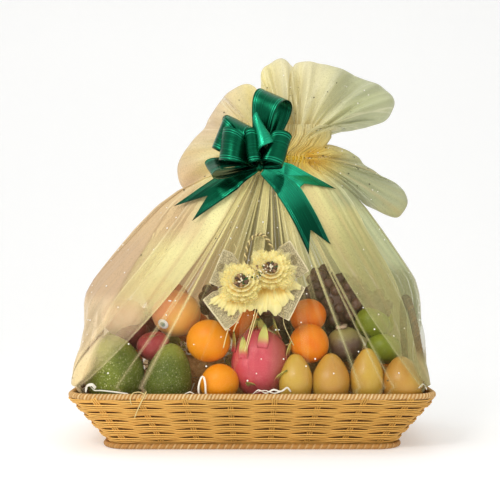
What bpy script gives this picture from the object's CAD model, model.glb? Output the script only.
"""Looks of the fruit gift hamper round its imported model: woven tray, rope borders and handles, fruit,
shredded paper, gathered net wrap, satin bow and corsage, each made by its own operator."""

import math

import bpy
import numpy as np
from bpy.props import FloatProperty, FloatVectorProperty, IntProperty, PointerProperty
from bpy.types import Operator, Panel, PropertyGroup
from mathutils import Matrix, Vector


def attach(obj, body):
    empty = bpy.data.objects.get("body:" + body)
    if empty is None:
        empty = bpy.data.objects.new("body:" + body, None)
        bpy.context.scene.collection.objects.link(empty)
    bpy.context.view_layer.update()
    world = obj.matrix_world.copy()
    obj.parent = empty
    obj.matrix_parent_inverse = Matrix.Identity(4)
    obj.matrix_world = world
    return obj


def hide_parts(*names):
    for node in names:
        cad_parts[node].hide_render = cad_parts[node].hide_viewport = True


bl_info = {
    "name": "Fruit Gift Hamper",
    "version": (1, 0, 0),
    "blender": (4, 5, 0),
    "location": "3D View > Sidebar > Hamper",
    "description": "A fruit hamper in a woven tray, under a gathered net wrap with a bow and a corsage",
    "category": "Add Mesh",
}

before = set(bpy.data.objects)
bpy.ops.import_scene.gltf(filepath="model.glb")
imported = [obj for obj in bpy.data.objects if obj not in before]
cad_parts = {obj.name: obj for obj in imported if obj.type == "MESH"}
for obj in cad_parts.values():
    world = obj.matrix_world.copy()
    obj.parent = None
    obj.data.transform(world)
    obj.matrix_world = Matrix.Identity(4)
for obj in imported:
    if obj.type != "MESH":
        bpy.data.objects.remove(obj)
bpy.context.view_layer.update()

UP, RIGHT = np.array([0.0, 0.0, 1.0]), np.array([1.0, 0.0, 0.0])
# How deep red, green and blue light goes into fruit peel
PEEL_GLOW = (0.006, 0.003, 0.0015)

# Tray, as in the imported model
BASE_LENGTH, BASE_WIDTH, BASE_CORNER = 0.466, 0.250, 0.030
RIM_LENGTH, RIM_WIDTH, RIM_CORNER = 0.592, 0.356, 0.044
WALL_TOP, WALL_THICKNESS = 0.0862, 0.0057
END_STAKES, SIDE_STAKES = 4, 7
STAKES = 2 * (END_STAKES + SIDE_STAKES) + 4
WEAVE_ROWS, WEAVE_START = 10, 0.0115
RIM_ROPE_RADIUS, RIM_ROPE_HEIGHT = 0.0052, 0.0914
FOOT_ROPE_RADIUS, FOOT_ROPE_OUT = 0.0046, 0.0120
HANDLE_RADIUS, HANDLE_HALF_SPAN, HANDLE_TOP = 0.0070, 0.084, 0.243
HANDLE_LEAN, HANDLE_INSET = 0.016, 0.005

# Wrap: height, left and right reach, half depth and squareness of its plan
WRAP_PROFILE = (
    (0.1070, -0.2990, 0.2950, 0.1850, 9.0), (0.1400, -0.2970, 0.2915, 0.1850, 6.5),
    (0.1680, -0.2930, 0.2930, 0.1810, 4.8), (0.1965, -0.2910, 0.2955, 0.1720, 3.6),
    (0.2365, -0.2930, 0.2940, 0.1560, 2.8), (0.2570, -0.2890, 0.2910, 0.1460, 2.5),
    (0.2790, -0.2775, 0.2846, 0.1350, 2.3), (0.3217, -0.2434, 0.2578, 0.1140, 2.1),
    (0.3647, -0.2076, 0.2290, 0.0940, 2.0), (0.4076, -0.1674, 0.1987, 0.0740, 2.0),
    (0.4360, -0.1290, 0.1720, 0.0600, 2.0), (0.4577, -0.0840, 0.1430, 0.0440, 2.0),
    (0.4720, -0.0150, 0.1120, 0.0365, 2.0), (0.4810, 0.0120, 0.1000, 0.0340, 2.0),
    (0.4980, 0.0120, 0.1000, 0.0340, 2.0), (0.5120, 0.0180, 0.1260, 0.0380, 2.0),
    (0.5300, 0.0280, 0.1380, 0.0410, 2.0), (0.5600, 0.0340, 0.1380, 0.0430, 2.0),
)
NECK = Vector((0.056, 0.0, 0.488))
NECK_HALF_WIDTH, NECK_HALF_DEPTH = 0.044, 0.034
SHOULDER = 0.452
WRAP_FOOT = 0.107

# Ruffle lobes: middle, half depth, outline as (degrees from +X towards +Z, reach)
RUFFLE_LOBES = (
    ((0.155, 0.004, 0.606), 0.050,
     ((0, 0.096), (15, 0.077), (53, 0.048), (93, 0.049), (117, 0.066), (138, 0.094), (150, 0.096),
      (180, 0.092), (217, 0.098), (252, 0.067), (290, 0.064), (329, 0.093), (347, 0.101))),
    ((0.048, 0.002, 0.628), 0.034,
     ((0, 0.045), (50, 0.039), (87, 0.045), (137, 0.039), (180, 0.032), (225, 0.040), (270, 0.085))),
    ((-0.060, 0.020, 0.530), 0.026,
     ((0, 0.105), (56, 0.116), (78, 0.087), (111, 0.045), (143, 0.034), (182, 0.047), (212, 0.088),
      (234, 0.110), (250, 0.085), (298, 0.062), (335, 0.072))),
    ((0.205, 0.012, 0.458), 0.022,
     ((0, 0.036), (43, 0.021), (97, 0.027), (112, 0.044), (137, 0.091), (155, 0.109), (168, 0.105),
      (200, 0.075), (247, 0.040), (273, 0.050), (306, 0.087), (318, 0.091), (332, 0.086), (345, 0.067))),
    ((0.130, -0.012, 0.5035), 0.012,
     ((352, 0.034), (25, 0.013), (90, 0.009), (150, 0.016), (180, 0.030), (215, 0.020), (270, 0.013),
      (325, 0.014))),
)

# Where each lobe leaves the tie, how far it is lifted on its way, and how many pleats it has
LOBE_TIES = (
    ((0.084, 0.0, 0.512), (0.0, 0.0, 0.030), 2), ((0.060, 0.004, 0.520), (0.0, 0.0, 0.0), 1),
    ((0.034, 0.012, 0.500), (-0.010, 0.0, 0.020), 1), ((0.094, 0.010, 0.500), (0.030, 0.0, -0.004), 2),
    ((0.088, -0.012, 0.499), (0.0, 0.0, -0.012), 1),
)

# Bow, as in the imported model: tip, way of the ribbon's width, opening and taper of each loop
KNOT = Vector((0.011, -0.066, 0.475))
LOOPS = (
    ((0.039, -0.082, 0.593), (0.80, -0.45, -0.44), 0.046, 0.0),
    ((0.017, -0.124, 0.530), (0.385, -0.10, -0.92), 0.028, 0.6),
    ((-0.058, -0.080, 0.5295), (-0.37, 0.05, -0.93), 0.032, 0.0),
    ((-0.047, -0.110, 0.506), (-0.14, 0.00, -0.99), 0.036, 0.0),
    ((-0.001, -0.124, 0.502), (0.14, 0.00, -0.99), 0.016, 0.0),
    ((-0.024, -0.070, 0.548), (0.80, -0.40, -0.45), 0.030, 0.0),
    ((0.049, -0.112, 0.499), (-0.31, 0.00, -0.95), 0.031, 0.0),
    ((-0.074, -0.092, 0.464), (0.25, -0.85, -0.45), 0.013, 0.0),
)
# The loop that shines most
LIT_LOOP = 1
# Route across and up, notch, skew of the end, how much the tail shines and over what share of its length
TAILS = (
    (((0.008, 0.468), (-0.024, 0.456), (-0.073, 0.423), (-0.123, 0.387)), 0.058, -0.011, 0.25, 0.30, 0.75),
    (((0.018, 0.464), (0.056, 0.436), (0.086, 0.388), (0.113, 0.328)), 0.036, 0.0, 0.95, 0.30, 0.75),
    (((0.022, 0.473), (0.049, 0.4636), (0.092, 0.442), (0.136, 0.417)), 0.052, 0.060, 1.5, 0.7, 1.2),
)

# Corsage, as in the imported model
CORSAGE_X, CORSAGE_Z, CORSAGE_RISE = 0.006, 0.274, 0.46
BACKING_RADIUS, BACKING_DEPTH, LEAF_OFF_WRAP = 0.015, 0.0095, 0.0042
FLOWER_RADIUS, FLOWER_DEPTH, FLOWER_SPACING = 0.033, 0.024, 0.053
FLOWER_TILT = math.radians(26)
LEAVES = ((31.0, 0.085, 0.030), (158.0, 0.071, 0.030), (218.0, 0.086, 0.031), (332.0, 0.076, 0.030))
TWIST_MIDDLE, TWIST_HALF, TWIST_OFF_WRAP = (0.006, 0.034), (0.0235, 0.049), 0.0095
# Tiers of a flower: reach at root and rim, rise at root and rim, number of ruffles
PETAL_TIERS = (
    (0.34, 1.00, 0.02, 0.30, 13), (0.30, 0.96, 0.18, 0.52, 11), (0.26, 0.84, 0.34, 0.78, 10),
    (0.20, 0.66, 0.46, 1.00, 9), (0.16, 0.46, 0.50, 1.02, 7),
)
# Wire curls: place on the wrap, size, turns and where the first turn starts
CURLS = ((-0.049, 0.2975, 0.0095, 2.2, 2.0), (0.064, 0.3085, 0.0120, 2.6, 0.5),
         (0.056, 0.3000, 0.0080, 2.0, 3.0))
# Ends of straw: distance from the wrap, radius, number of points, tone and route
STRAW_ENDS = (
    (0.0045, 0.00085, 26, 0.9, (-0.026, 0.232), (-0.033, 0.215), (-0.041, 0.190), (-0.046, 0.170)),
    (0.0055, 0.00085, 26, 0.9, (0.010, 0.232), (0.005, 0.215), (-0.001, 0.195), (-0.009, 0.168)),
    (0.0065, 0.00085, 26, 0.9, (0.006, 0.236), (0.003, 0.220), (-0.004, 0.196), (-0.012, 0.165)),
    (0.0075, 0.00085, 26, 0.9, (-0.010, 0.240), (-0.018, 0.222), (-0.026, 0.206), (-0.030, 0.196)),
    (0.0060, 0.0007, 30, 0.35, (0.049, 0.245), (0.050, 0.225), (0.051, 0.207), (0.060, 0.186),
     (0.066, 0.174)),
    (0.0120, 0.0006, 14, 0.5, (-0.030, 0.318), (-0.026, 0.328), (-0.030, 0.337)),
    (0.0120, 0.0006, 14, 0.5, (0.042, 0.322), (0.050, 0.334), (0.058, 0.338)),
)
# Scraps of gauze below the flowers: place, heading in degrees, length and half width
GAUZE = (
    (0.016, 0.272, -101, 0.046, 0.015), (0.030, 0.272, -88, 0.048, 0.016), (0.040, 0.274, -66, 0.038, 0.014),
    (0.006, 0.268, -118, 0.034, 0.012), (-0.014, 0.256, -84, 0.030, 0.012),
    (-0.028, 0.254, -106, 0.032, 0.014), (-0.040, 0.258, -134, 0.030, 0.013),
    (0.046, 0.282, -38, 0.034, 0.013),
)

# Fruit: middle and size, front rows first
ORANGES = (
    ((-0.0725, -0.118, 0.1760), 0.0370, 0.15), ((-0.0535, -0.140, 0.1090), 0.0322, 0.10),
    ((-0.015, -0.070, 0.199), 0.0300, 0.75), ((0.095, -0.082, 0.215), 0.0310, 0.72),
    ((0.095, -0.112, 0.171), 0.0334, 0.55), ((0.235, 0.040, 0.130), 0.0340, 0.40),
    ((-0.235, 0.045, 0.130), 0.0340, 0.50), ((0.160, 0.130, 0.125), 0.0350, 0.30),
    ((0.085, 0.135, 0.120), 0.0340, 0.60), ((-0.080, 0.130, 0.125), 0.0350, 0.20),
    ((-0.010, 0.095, 0.180), 0.0340, 0.45), ((0.055, 0.075, 0.205), 0.0330, 0.35),
    ((-0.110, 0.075, 0.185), 0.0330, 0.80), ((0.235, -0.035, 0.095), 0.0320, 0.50),
    ((0.020, 0.020, 0.130), 0.0340, 0.55), ((-0.080, 0.010, 0.130), 0.0340, 0.35),
)
AVOCADOS = (
    ((-0.2290, -0.118, 0.1240), (0.0540, 0.0480, 0.0620), 0.2),
    ((-0.1395, -0.122, 0.1120), (0.0400, 0.0400, 0.0600), 0.6),
    ((-0.250, 0.110, 0.120), (0.042, 0.042, 0.060), 0.4),
    ((-0.160, 0.128, 0.115), (0.042, 0.040, 0.058), 0.8),
)
APPLES = (((-0.166, -0.100, 0.1655), 0.0275, 0.2), ((-0.208, -0.040, 0.180), 0.030, 0.9),
          ((-0.200, 0.070, 0.190), 0.036, 0.6), ((0.010, 0.140, 0.130), 0.038, 0.3),
          ((0.170, 0.060, 0.185), 0.036, 0.8))
PINK_FRUIT = (((-0.226, -0.034, 0.210), 0.0375), ((0.245, 0.115, 0.120), 0.040),
              ((-0.150, 0.010, 0.235), 0.038))
PEACH = ((-0.1300, -0.068, 0.2190), 0.0415)
YELLOW_FRUIT = ((-0.163, -0.020, 0.255), 0.0290)
SMALL_MANGOES = ((0.0716, 0.0270, 0.157, 0.0), (0.1290, 0.0304, 0.157, 0.35),
                 (0.1875, 0.0263, 0.1655, 0.15), (0.2468, 0.0325, 0.152, 0.6))
MANGO_FOOT, MANGO_Y = 0.064, -0.138
DRAGON_FRUIT = ((0.013, -0.112, 0.138), (0.0485, 0.044, 0.058))
# Scales of the dragon fruit: turn and rise in degrees, length and curl
DRAGON_SCALES = (
    (-125, 12, 1.15, 0.20), (-86, 30, 1.25, 0.24), (-108, -38, 0.75, 0.75), (-52, -28, 0.95, 0.50),
    (-165, 20, 1.1, 0.30), (-20, 8, 1.0, 0.40), (10, 45, 1.1, 0.4), (60, 20, 1, 0.5), (110, 40, 1, 0.5),
    (150, -20, 0.9, 0.5), (40, -30, 0.9, 0.5), (90, -5, 1, 0.5), (-70, 68, 0.9, 0.35), (-150, 62, 0.9, 0.4),
    (170, 66, 0.9, 0.4), (70, 66, 0.9, 0.4),
)
ROUND_DARK = ((0.157, -0.085, 0.1675), 0.0312)
DARK_LEAN = (-0.20, -0.14, 1.0)
GREEN_APPLES = (((0.206, -0.062, 0.200), 0.030), ((0.2247, -0.075, 0.158), 0.0300),
                ((0.225, 0.020, 0.195), 0.033), ((-0.030, 0.040, 0.235), 0.034))
# Bunches of grapes: middle, half size and number
GRAPES = (
    ((0.152, 0.000, 0.234), (0.060, 0.045, 0.050), 62), ((0.045, -0.020, 0.232), (0.060, 0.040, 0.040), 46),
    ((0.120, 0.035, 0.190), (0.080, 0.045, 0.050), 40), ((0.215, -0.010, 0.225), (0.030, 0.035, 0.030), 14),
    ((-0.050, -0.030, 0.238), (0.040, 0.035, 0.035), 24), ((0.122, -0.012, 0.268), (0.018, 0.022, 0.028), 14),
)
STICKER_PLACE = (-0.1500, 0.2025)

# Paper: half length and half width of its bed, then width, twist and route of the strips along the front
BED_LENGTH, BED_WIDTH = 0.268, 0.150
FRONT_SHREDS = (
    (0.0034, 0.3, (-0.270, -0.166, 0.104), (-0.262, -0.170, 0.109), (-0.254, -0.168, 0.101),
     (-0.240, -0.170, 0.1005), (-0.214, -0.170, 0.0975), (-0.200, -0.168, 0.095)),
    (0.0050, 1.2, (-0.268, -0.168, 0.098), (-0.265, -0.170, 0.108), (-0.257, -0.171, 0.110),
     (-0.252, -0.168, 0.104)),
    (0.0030, 0.6, (-0.0850, -0.170, 0.090), (-0.0862, -0.172, 0.106), (-0.0825, -0.172, 0.120),
     (-0.0785, -0.170, 0.123), (-0.0755, -0.172, 0.112), (-0.0745, -0.170, 0.094), (-0.072, -0.168, 0.088)),
    (0.0028, 1.5, (0.000, -0.168, 0.094), (0.010, -0.171, 0.1015), (0.022, -0.169, 0.0965),
     (0.034, -0.171, 0.1020), (0.046, -0.170, 0.0990), (0.056, -0.168, 0.1050), (0.062, -0.166, 0.098)),
    (0.0022, 0.5, (0.006, -0.170, 0.0975), (0.020, -0.172, 0.1010), (0.036, -0.171, 0.0965),
     (0.052, -0.170, 0.1020)),
    (0.0030, 0.8, (0.268, -0.166, 0.104), (0.276, -0.164, 0.110), (0.282, -0.160, 0.101)),
    (0.0024, 0.4, (-0.112, -0.170, 0.093), (-0.100, -0.172, 0.0985), (-0.092, -0.170, 0.094)),
)


def colour(red, green, blue):
    """The linear colour of an everyday colour from 0 to 255."""
    return tuple(((c / 255 + 0.055) / 1.055) ** 2.4 if c > 10 else c / 3294.6 for c in (red, green, blue))


def scaled(tone, factor):
    return tuple(c * factor for c in tone)


def tint(label, note, default):
    return FloatVectorProperty(
        name=label, description=note, default=default, subtype="COLOR", size=3, min=0, max=1)


def number(label, note, default, **kind):
    return FloatProperty(name=label, description=note, default=default, **kind)


def measure(label, note, default):
    return number(label, note, default, subtype="DISTANCE", unit="LENGTH")


def share(label, note, default):
    return number(label, note, default, min=0, max=1, subtype="FACTOR")


class HamperTray(PropertyGroup):
    cane: tint("Cane", "Golden face of the woven strands", colour(226, 174, 84))
    cane_pale: tint("Pale cane", "The palest strands", colour(244, 206, 132))
    cane_dark: tint("Dark cane", "Stakes and the inside of the weave", colour(92, 56, 26))
    rope_pale: tint("Pale rope", "Pale strands of the borders", colour(232, 206, 152))
    rope_brown: tint("Brown rope", "Brown strands of the borders", colour(184, 132, 64))
    strand: measure("Strand", "Half thickness of a weaving strand", 0.0013)
    front: measure("Over", "How far a strand stands out over a stake", 0.0019)
    behind: measure("Under", "How far a strand goes back behind a stake", 0.0026)
    rope_pitch: measure("Rope pitch", "Length of one turn of a border rope", 0.0120)


class HamperWrap(PropertyGroup):
    net: tint("Net", "Pale yellow of the net", colour(232, 220, 152))
    net_left: tint("Left of the net", "Warm cream on the left", colour(220, 190, 144))
    net_right: tint("Right of the net", "Grey green on the right", colour(172, 168, 110))
    net_neck: tint("Gathered net", "Deep yellow where many layers meet", colour(236, 194, 44))
    front_veil: share("Front layer", "How much one layer of the front hides", 0.024)
    back_veil: share("Back layer", "How much one layer of the back hides", 1.0)
    ruffle_veil: share("Ruffle layer", "How much one layer of the ruffle hides", 0.72)
    end_veil: share("End layer", "How much the layer at each end hides", 0.82)
    fold_line: share("Fold line", "What a folded edge adds", 0.34)
    mesh_pitch: measure("Net pitch", "Distance between the net's threads", 0.0021)
    layer_gap: measure("Layer gap", "Distance between the layers of a pleat", 0.0011)
    dots: IntProperty(name="Dots", description="Glitter dots on the net", default=420, min=0)
    seed: IntProperty(name="Seed", description="Which draw of pleats is used", default=11)


class HamperBow(PropertyGroup):
    satin: tint("Satin", "Deep green of the ribbon", colour(5, 84, 56))
    satin_light: tint("Satin light", "Green of its lighter streaks", colour(40, 176, 132))
    tie: tint("Tie", "Deep yellow of the tie under the bow", colour(222, 184, 60))
    width: measure("Ribbon width", "Width of the loops' ribbon", 0.057)
    tail_width: measure("Tail width", "Width of the tails' ribbon", 0.0415)
    thickness: measure("Ribbon thickness", "Thickness of the ribbon", 0.0006)
    rib: share("Rib", "Where the ribbon's ribs run, as a share of its half width", 0.84)


class HamperCorsage(PropertyGroup):
    petal: tint("Petal", "Pale yellow of the petals", colour(255, 240, 160))
    petal_deep: tint("Petal heart", "Orange yellow at the petals' roots", colour(244, 196, 70))
    leaf: tint("Net leaf", "Cream of the stiff net leaves", colour(232, 216, 166))
    seed_head: tint("Seed head", "Brown of the seed heads", colour(128, 92, 70))
    straw: tint("Straw", "Straw of the cords", colour(226, 204, 140))
    green: tint("Green", "Green of the small leaves", colour(46, 84, 34))


class HamperFruit(PropertyGroup):
    orange: tint("Orange", "Yellow orange of the peel", colour(240, 148, 2))
    orange_deep: tint("Deep orange", "Red orange of the riper peel", colour(230, 104, 6))
    avocado: tint("Avocado", "Dark green of its skin", colour(104, 118, 34))
    avocado_pale: tint("Avocado flecks", "Yellow green of its flecks", colour(186, 190, 78))
    apple: tint("Red apple", "Maroon of the apple", colour(164, 58, 62))
    peach: tint("Peach", "Yellow orange of the peach", colour(246, 184, 84))
    peach_blush: tint("Peach blush", "Pink of its blush", colour(246, 160, 116))
    mango: tint("Small mango", "Yellow of the small mangoes", colour(204, 166, 60))
    mango_brown: tint("Ripe mango", "Brown yellow of their riper side", colour(188, 128, 52))
    dragon: tint("Dragon fruit", "Pink of the dragon fruit", colour(208, 70, 86))
    dragon_tip: tint("Scale tips", "Yellow green of its scales", colour(206, 200, 104))
    round_dark: tint("Dark fruit", "Dark skin of the round fruit", colour(104, 80, 66))
    green_apple: tint("Green apple", "Green of the apples", colour(168, 180, 48))
    grape: tint("Grape", "Dark brown purple of the grapes", colour(124, 90, 73))
    paper: tint("Paper", "White of the shredded paper", colour(244, 238, 222))


class HamperStage(PropertyGroup):
    floor: tint("Floor", "White of the floor and backdrop", (0.86, 0.86, 0.85))
    key: number("Key light", "Power of the big soft light", 13.0, unit="POWER")
    fill: number("Fill light", "Power of the light on the right", 4.0, unit="POWER")
    sky: number("Ambient", "Strength of the soft light from all round", 0.85)
    glow: number("Floor glow", "How far the floor is lifted towards white", 0.22)
    camera_x: measure("Camera place", "How far the camera is to the side", -0.0036)
    camera_back: measure("Camera distance", "How far the camera is in front of the middle", 1.68)
    camera_height: measure("Camera height", "Height of the camera", 0.302)
    pitch: number("Pitch", "Upward tilt of the camera", math.radians(0.915), subtype="ANGLE", unit="ROTATION")
    lens: number("Lens", "Focal length on a 36 mm sensor", 67.6, unit="CAMERA")


class Amount:
    """A shader socket that takes part in sums: an operation on values adds its Math node."""

    def __init__(self, finish, socket):
        self.finish, self.socket = finish, socket

    def sum(self, operation, *terms):
        return self.finish.node("ShaderNodeMath", {"operation": operation}, dict(enumerate(terms)))

    def __add__(self, other):
        return self.sum("ADD", self, other)

    def __sub__(self, other):
        return self.sum("SUBTRACT", self, other)

    def __rsub__(self, other):
        return self.sum("SUBTRACT", other, self)

    def __mul__(self, other):
        return self.sum("MULTIPLY", self, other)

    def __truediv__(self, other):
        return self.sum("DIVIDE", self, other)

    def __pow__(self, other):
        return self.sum("POWER", self, other)

    def size(self):
        return self.sum("ABSOLUTE", self)

    def wave(self):
        return self.sum("SINE", self)

    def most(self, other):
        return self.sum("MAXIMUM", self, other)

    def rise(self, low, high, start=0.0, end=1.0):
        """Eases from start to end while the value goes from low to high."""
        return self.finish.node("ShaderNodeMapRange", {"interpolation_type": "SMOOTHSTEP", "clamp": True},
                                {0: self, 1: low, 2: high, 3: start, 4: end})

    __radd__, __rmul__ = __add__, __mul__


class Graph:
    """A tree of shader nodes in the making."""

    def __init__(self, owner):
        owner.use_nodes = True
        self.tree = owner.node_tree

    def fill(self, socket, value):
        """Links a socket to the one that is given, or sets it to the value."""
        if isinstance(value, Amount):
            self.tree.links.new(value.socket, socket)
        elif socket.type == "RGBA":
            socket.default_value = (*value[:3], 1.0)
        else:
            socket.default_value = value

    def node(self, kind, settings=None, inputs=None, output=0):
        """Adds a node, sets it up, fills its sockets, and gives the output socket that is asked for."""
        made = self.tree.nodes.new(kind)
        for name, value in (settings or {}).items():
            if name == "stops":
                self.set_stops(made.color_ramp.elements, value)
            else:
                setattr(made, name, value)
        for key, value in (inputs or {}).items():
            self.fill(made.inputs[key], value)
        return Amount(self, made.outputs[output])

    @staticmethod
    def set_stops(elements, stops):
        while len(elements) < len(stops):
            elements.new(1.0)
        for element, (place, value) in zip(elements, stops):
            element.position = place
            element.color = (*value, 1.0)


class Finish(Graph):
    """A material in the making: its nodes, with one Principled shader that the sockets end in."""

    def __init__(self, name, **constants):
        self.material = bpy.data.materials.new(name)
        super().__init__(self.material)
        self.tree.nodes.clear()
        self.shader = self.tree.nodes.new("ShaderNodeBsdfPrincipled")
        output = self.tree.nodes.new("ShaderNodeOutputMaterial")
        self.tree.links.new(self.shader.outputs[0], output.inputs[0])
        self.done(**constants)

    def place(self):
        return self.node("ShaderNodeTexCoord", output=3)

    def value(self, name):
        return self.node("ShaderNodeAttribute", {"attribute_name": name}, output=2)

    def vector(self, name):
        return self.node("ShaderNodeAttribute", {"attribute_name": name}, output=1)

    def axis(self, vector, index):
        return self.node("ShaderNodeSeparateXYZ", inputs={0: vector}, output=index)

    def join(self, x=0.0, y=0.0, z=0.0):
        return self.node("ShaderNodeCombineXYZ", inputs={0: x, 1: y, 2: z})

    def noise(self, vector, scale, detail=2.0, rough=0.5):
        return self.node("ShaderNodeTexNoise", {"noise_dimensions": "4D"},
                         {"Vector": vector, "W": 0.0, "Scale": scale, "Detail": detail, "Roughness": rough})

    def spots(self, vector, scale, low, high):
        """1 in small round spots and 0 between them."""
        cells = self.node("ShaderNodeTexVoronoi", inputs={"Vector": vector, "Scale": scale})
        return cells.rise(low, high, 1.0, 0.0)

    def within(self, value):
        """The value, kept between 0 and 1."""
        return self.node("ShaderNodeClamp", inputs={0: value})

    def mix(self, first, second, mask):
        return self.node("ShaderNodeMix", {"data_type": "RGBA"}, {0: mask, 6: first, 7: second}, output=2)

    def coats(self, base, *coats):
        """The base colour under coats of (colour, mask), laid over it in turn."""
        for tone, mask in coats:
            base = self.mix(base, tone, mask)
        return base

    def ramp(self, amount, *stops):
        return self.node("ShaderNodeValToRGB", {"stops": stops}, {0: amount})

    def bump(self, height, distance, strength=1.0):
        return self.node("ShaderNodeBump", inputs={
            "Height": height, "Distance": distance, "Strength": strength})

    def done(self, **ends):
        """Fills the shader's sockets, and gives the material."""
        for name, value in ends.items():
            self.fill(self.shader.inputs[name.replace("_", " ")], value)
        return self.material


def added(name, data):
    """A new object in the scene."""
    made = bpy.data.objects.new(name, data)
    bpy.context.scene.collection.objects.link(made)
    return made


class Pile:
    """Gathers many small shapes into one mesh, with named values for their points."""

    def __init__(self):
        self.points, self.faces, self.values, self.total = [], [], {}, 0

    def add(self, shape, **values):
        """Adds points and groups of faces; a value is one for all, one for each ring or each point."""
        points, *faces = shape
        points = np.asarray(points, float).reshape(-1, 3)
        self.points.append(points)
        self.faces += [np.asarray(group) + self.total for group in faces]
        for name, value in values.items():
            value = np.asarray(value, float)
            if value.size < len(points):
                value = np.repeat(value.ravel(), len(points) // value.size)
            self.values.setdefault(name, []).append(value.reshape(len(points), -1))
        self.total += len(points)

    def make(self, name, finish, slot, *nodes):
        """Makes the mesh object, with its body, its slot and the nodes that it stands for."""
        mesh = bpy.data.meshes.new(name)
        faces = [face for group in self.faces for face in group.tolist()]
        mesh.from_pydata(np.concatenate(self.points).tolist(), [], faces)
        for key, groups in self.values.items():
            data = np.concatenate(groups).astype(np.float32)
            kind, field = ("FLOAT", "value") if data.shape[1] == 1 else ("FLOAT_VECTOR", "vector")
            mesh.attributes.new(key, kind, "POINT").data.foreach_set(field, data.ravel())
        mesh.shade_smooth()
        if "crease" in self.values:
            ends = np.empty(2 * len(mesh.edges), np.int32)
            mesh.edges.foreach_get("vertices", ends)
            folded = np.concatenate(self.values["crease"])[:, 0][ends.reshape(-1, 2)].all(1)
            mesh.attributes.new("sharp_edge", "BOOLEAN", "EDGE").data.foreach_set("value", folded)
        mesh.materials.append(finish)
        piece = added(name, mesh)
        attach(piece, "root")
        if nodes:
            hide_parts(*nodes)
        return piece


def unit(vectors):
    return vectors / np.maximum(np.linalg.norm(vectors, axis=-1, keepdims=True), 1e-12)


def ease(value, low, high):
    """0 below low, 1 above high, and smooth between."""
    t = np.clip((np.asarray(value, float) - low) / (high - low), 0, 1)
    return t * t * (3 - 2 * t)


def grid_faces(rows, columns, round_rows=False, round_columns=False):
    """Quads between the neighbouring points of a grid that is numbered row by row."""
    r = np.arange(rows if round_rows else rows - 1)[:, None]
    c = np.arange(columns if round_columns else columns - 1)[None, :]
    here, after = r * columns, (r + 1) % rows * columns
    beside = (c + 1) % columns
    return np.stack([here + c, after + c, after + beside, here + beside], -1).reshape(-1, 4)


def rings_shape(rings):
    """Closed rings of points, one after the other, with quads between them."""
    rings = np.asarray(rings)
    return rings, grid_faces(*rings.shape[:2], False, True)


def slab(front, back):
    """Two grids of points as the faces of a thin leaf, with quads between their edges."""
    rows, columns = front.shape[:2]
    total = rows * columns
    quads = grid_faces(rows, columns)
    at = np.arange(total).reshape(rows, columns)
    edge = np.concatenate([at[0], at[1:, -1], at[-1, -2::-1], at[-2:0:-1, 0]])
    beside = np.roll(edge, -1)
    rim = np.stack([edge, beside, beside + total, edge + total], 1)
    points = np.concatenate([front.reshape(-1, 3), back.reshape(-1, 3)])
    return points, quads[:, ::-1], quads + total, rim


def thickened(grid, thickness):
    """A grid of points as a leaf of the given thickness."""
    normal = unit(np.cross(np.gradient(grid, axis=0), np.gradient(grid, axis=1))) * thickness / 2
    return slab(grid + normal, grid - normal)


def circle(turn, right, up):
    """Directions at each turn, from the one called right towards the one called up."""
    return np.multiply.outer(np.cos(turn), right) + np.multiply.outer(np.sin(turn), up)


def sweep(path, across, up, half_across, half_up, sides, closed=False):
    """A strand with an oval section along a path, with flat ends unless it is closed."""
    turn = 2 * np.pi * np.arange(sides) / sides
    count = len(path)
    across, up = (np.broadcast_to(way, path.shape)[:, None] for way in (across, up))
    a = np.broadcast_to(half_across, count)[:, None, None] * np.cos(turn)[None, :, None]
    b = np.broadcast_to(half_up, count)[:, None, None] * np.sin(turn)[None, :, None]
    points = path[:, None] + across * a + up * b
    faces = grid_faces(count, sides, closed, True)
    if closed:
        return points, faces
    ends = np.array([np.arange(sides)[::-1], np.arange(sides) + (count - 1) * sides])
    return points, faces[:, ::-1], ends


def lengths(path):
    """How far along a path each of its points is."""
    return np.concatenate([[0], np.cumsum(np.linalg.norm(np.diff(path, axis=0), axis=1))])


def frames(path, hint):
    """Directions across and up, square to a path, turned towards a hint."""
    ahead = unit(np.gradient(path, axis=0))
    across = unit(np.cross(np.broadcast_to(hint, path.shape), ahead))
    return across, np.cross(ahead, across)


def smooth_route(points, count, closed=False):
    """Evenly spaced points on a smooth curve through the given ones."""
    p = np.asarray(points, float)
    ends = (p[-1], p[:2]) if closed else (2 * p[0] - p[1], 2 * p[-1] - p[-2])
    p = np.vstack([ends[0], p, ends[1]])
    t = np.linspace(0, 1, 9)[:-1, None]
    parts = []
    for a, b, c, d in zip(p, p[1:], p[2:], p[3:]):
        bend = (2 * a - 5 * b + 4 * c - d) * t**2 + (3 * b - a - 3 * c + d) * t**3
        parts.append(0.5 * (2 * b + (c - a) * t + bend))
    return resample(np.vstack([*parts, p[-2]]), count)


def resample(path, count, extra=None):
    """The path at evenly spaced points, with what goes with its points carried along."""
    run = lengths(path)
    at = np.linspace(0, run[-1], count)
    spread = [np.stack([np.interp(at, run, column) for column in table.T], 1)
              for table in (path, extra) if table is not None]
    return spread[0] if extra is None else spread


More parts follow.
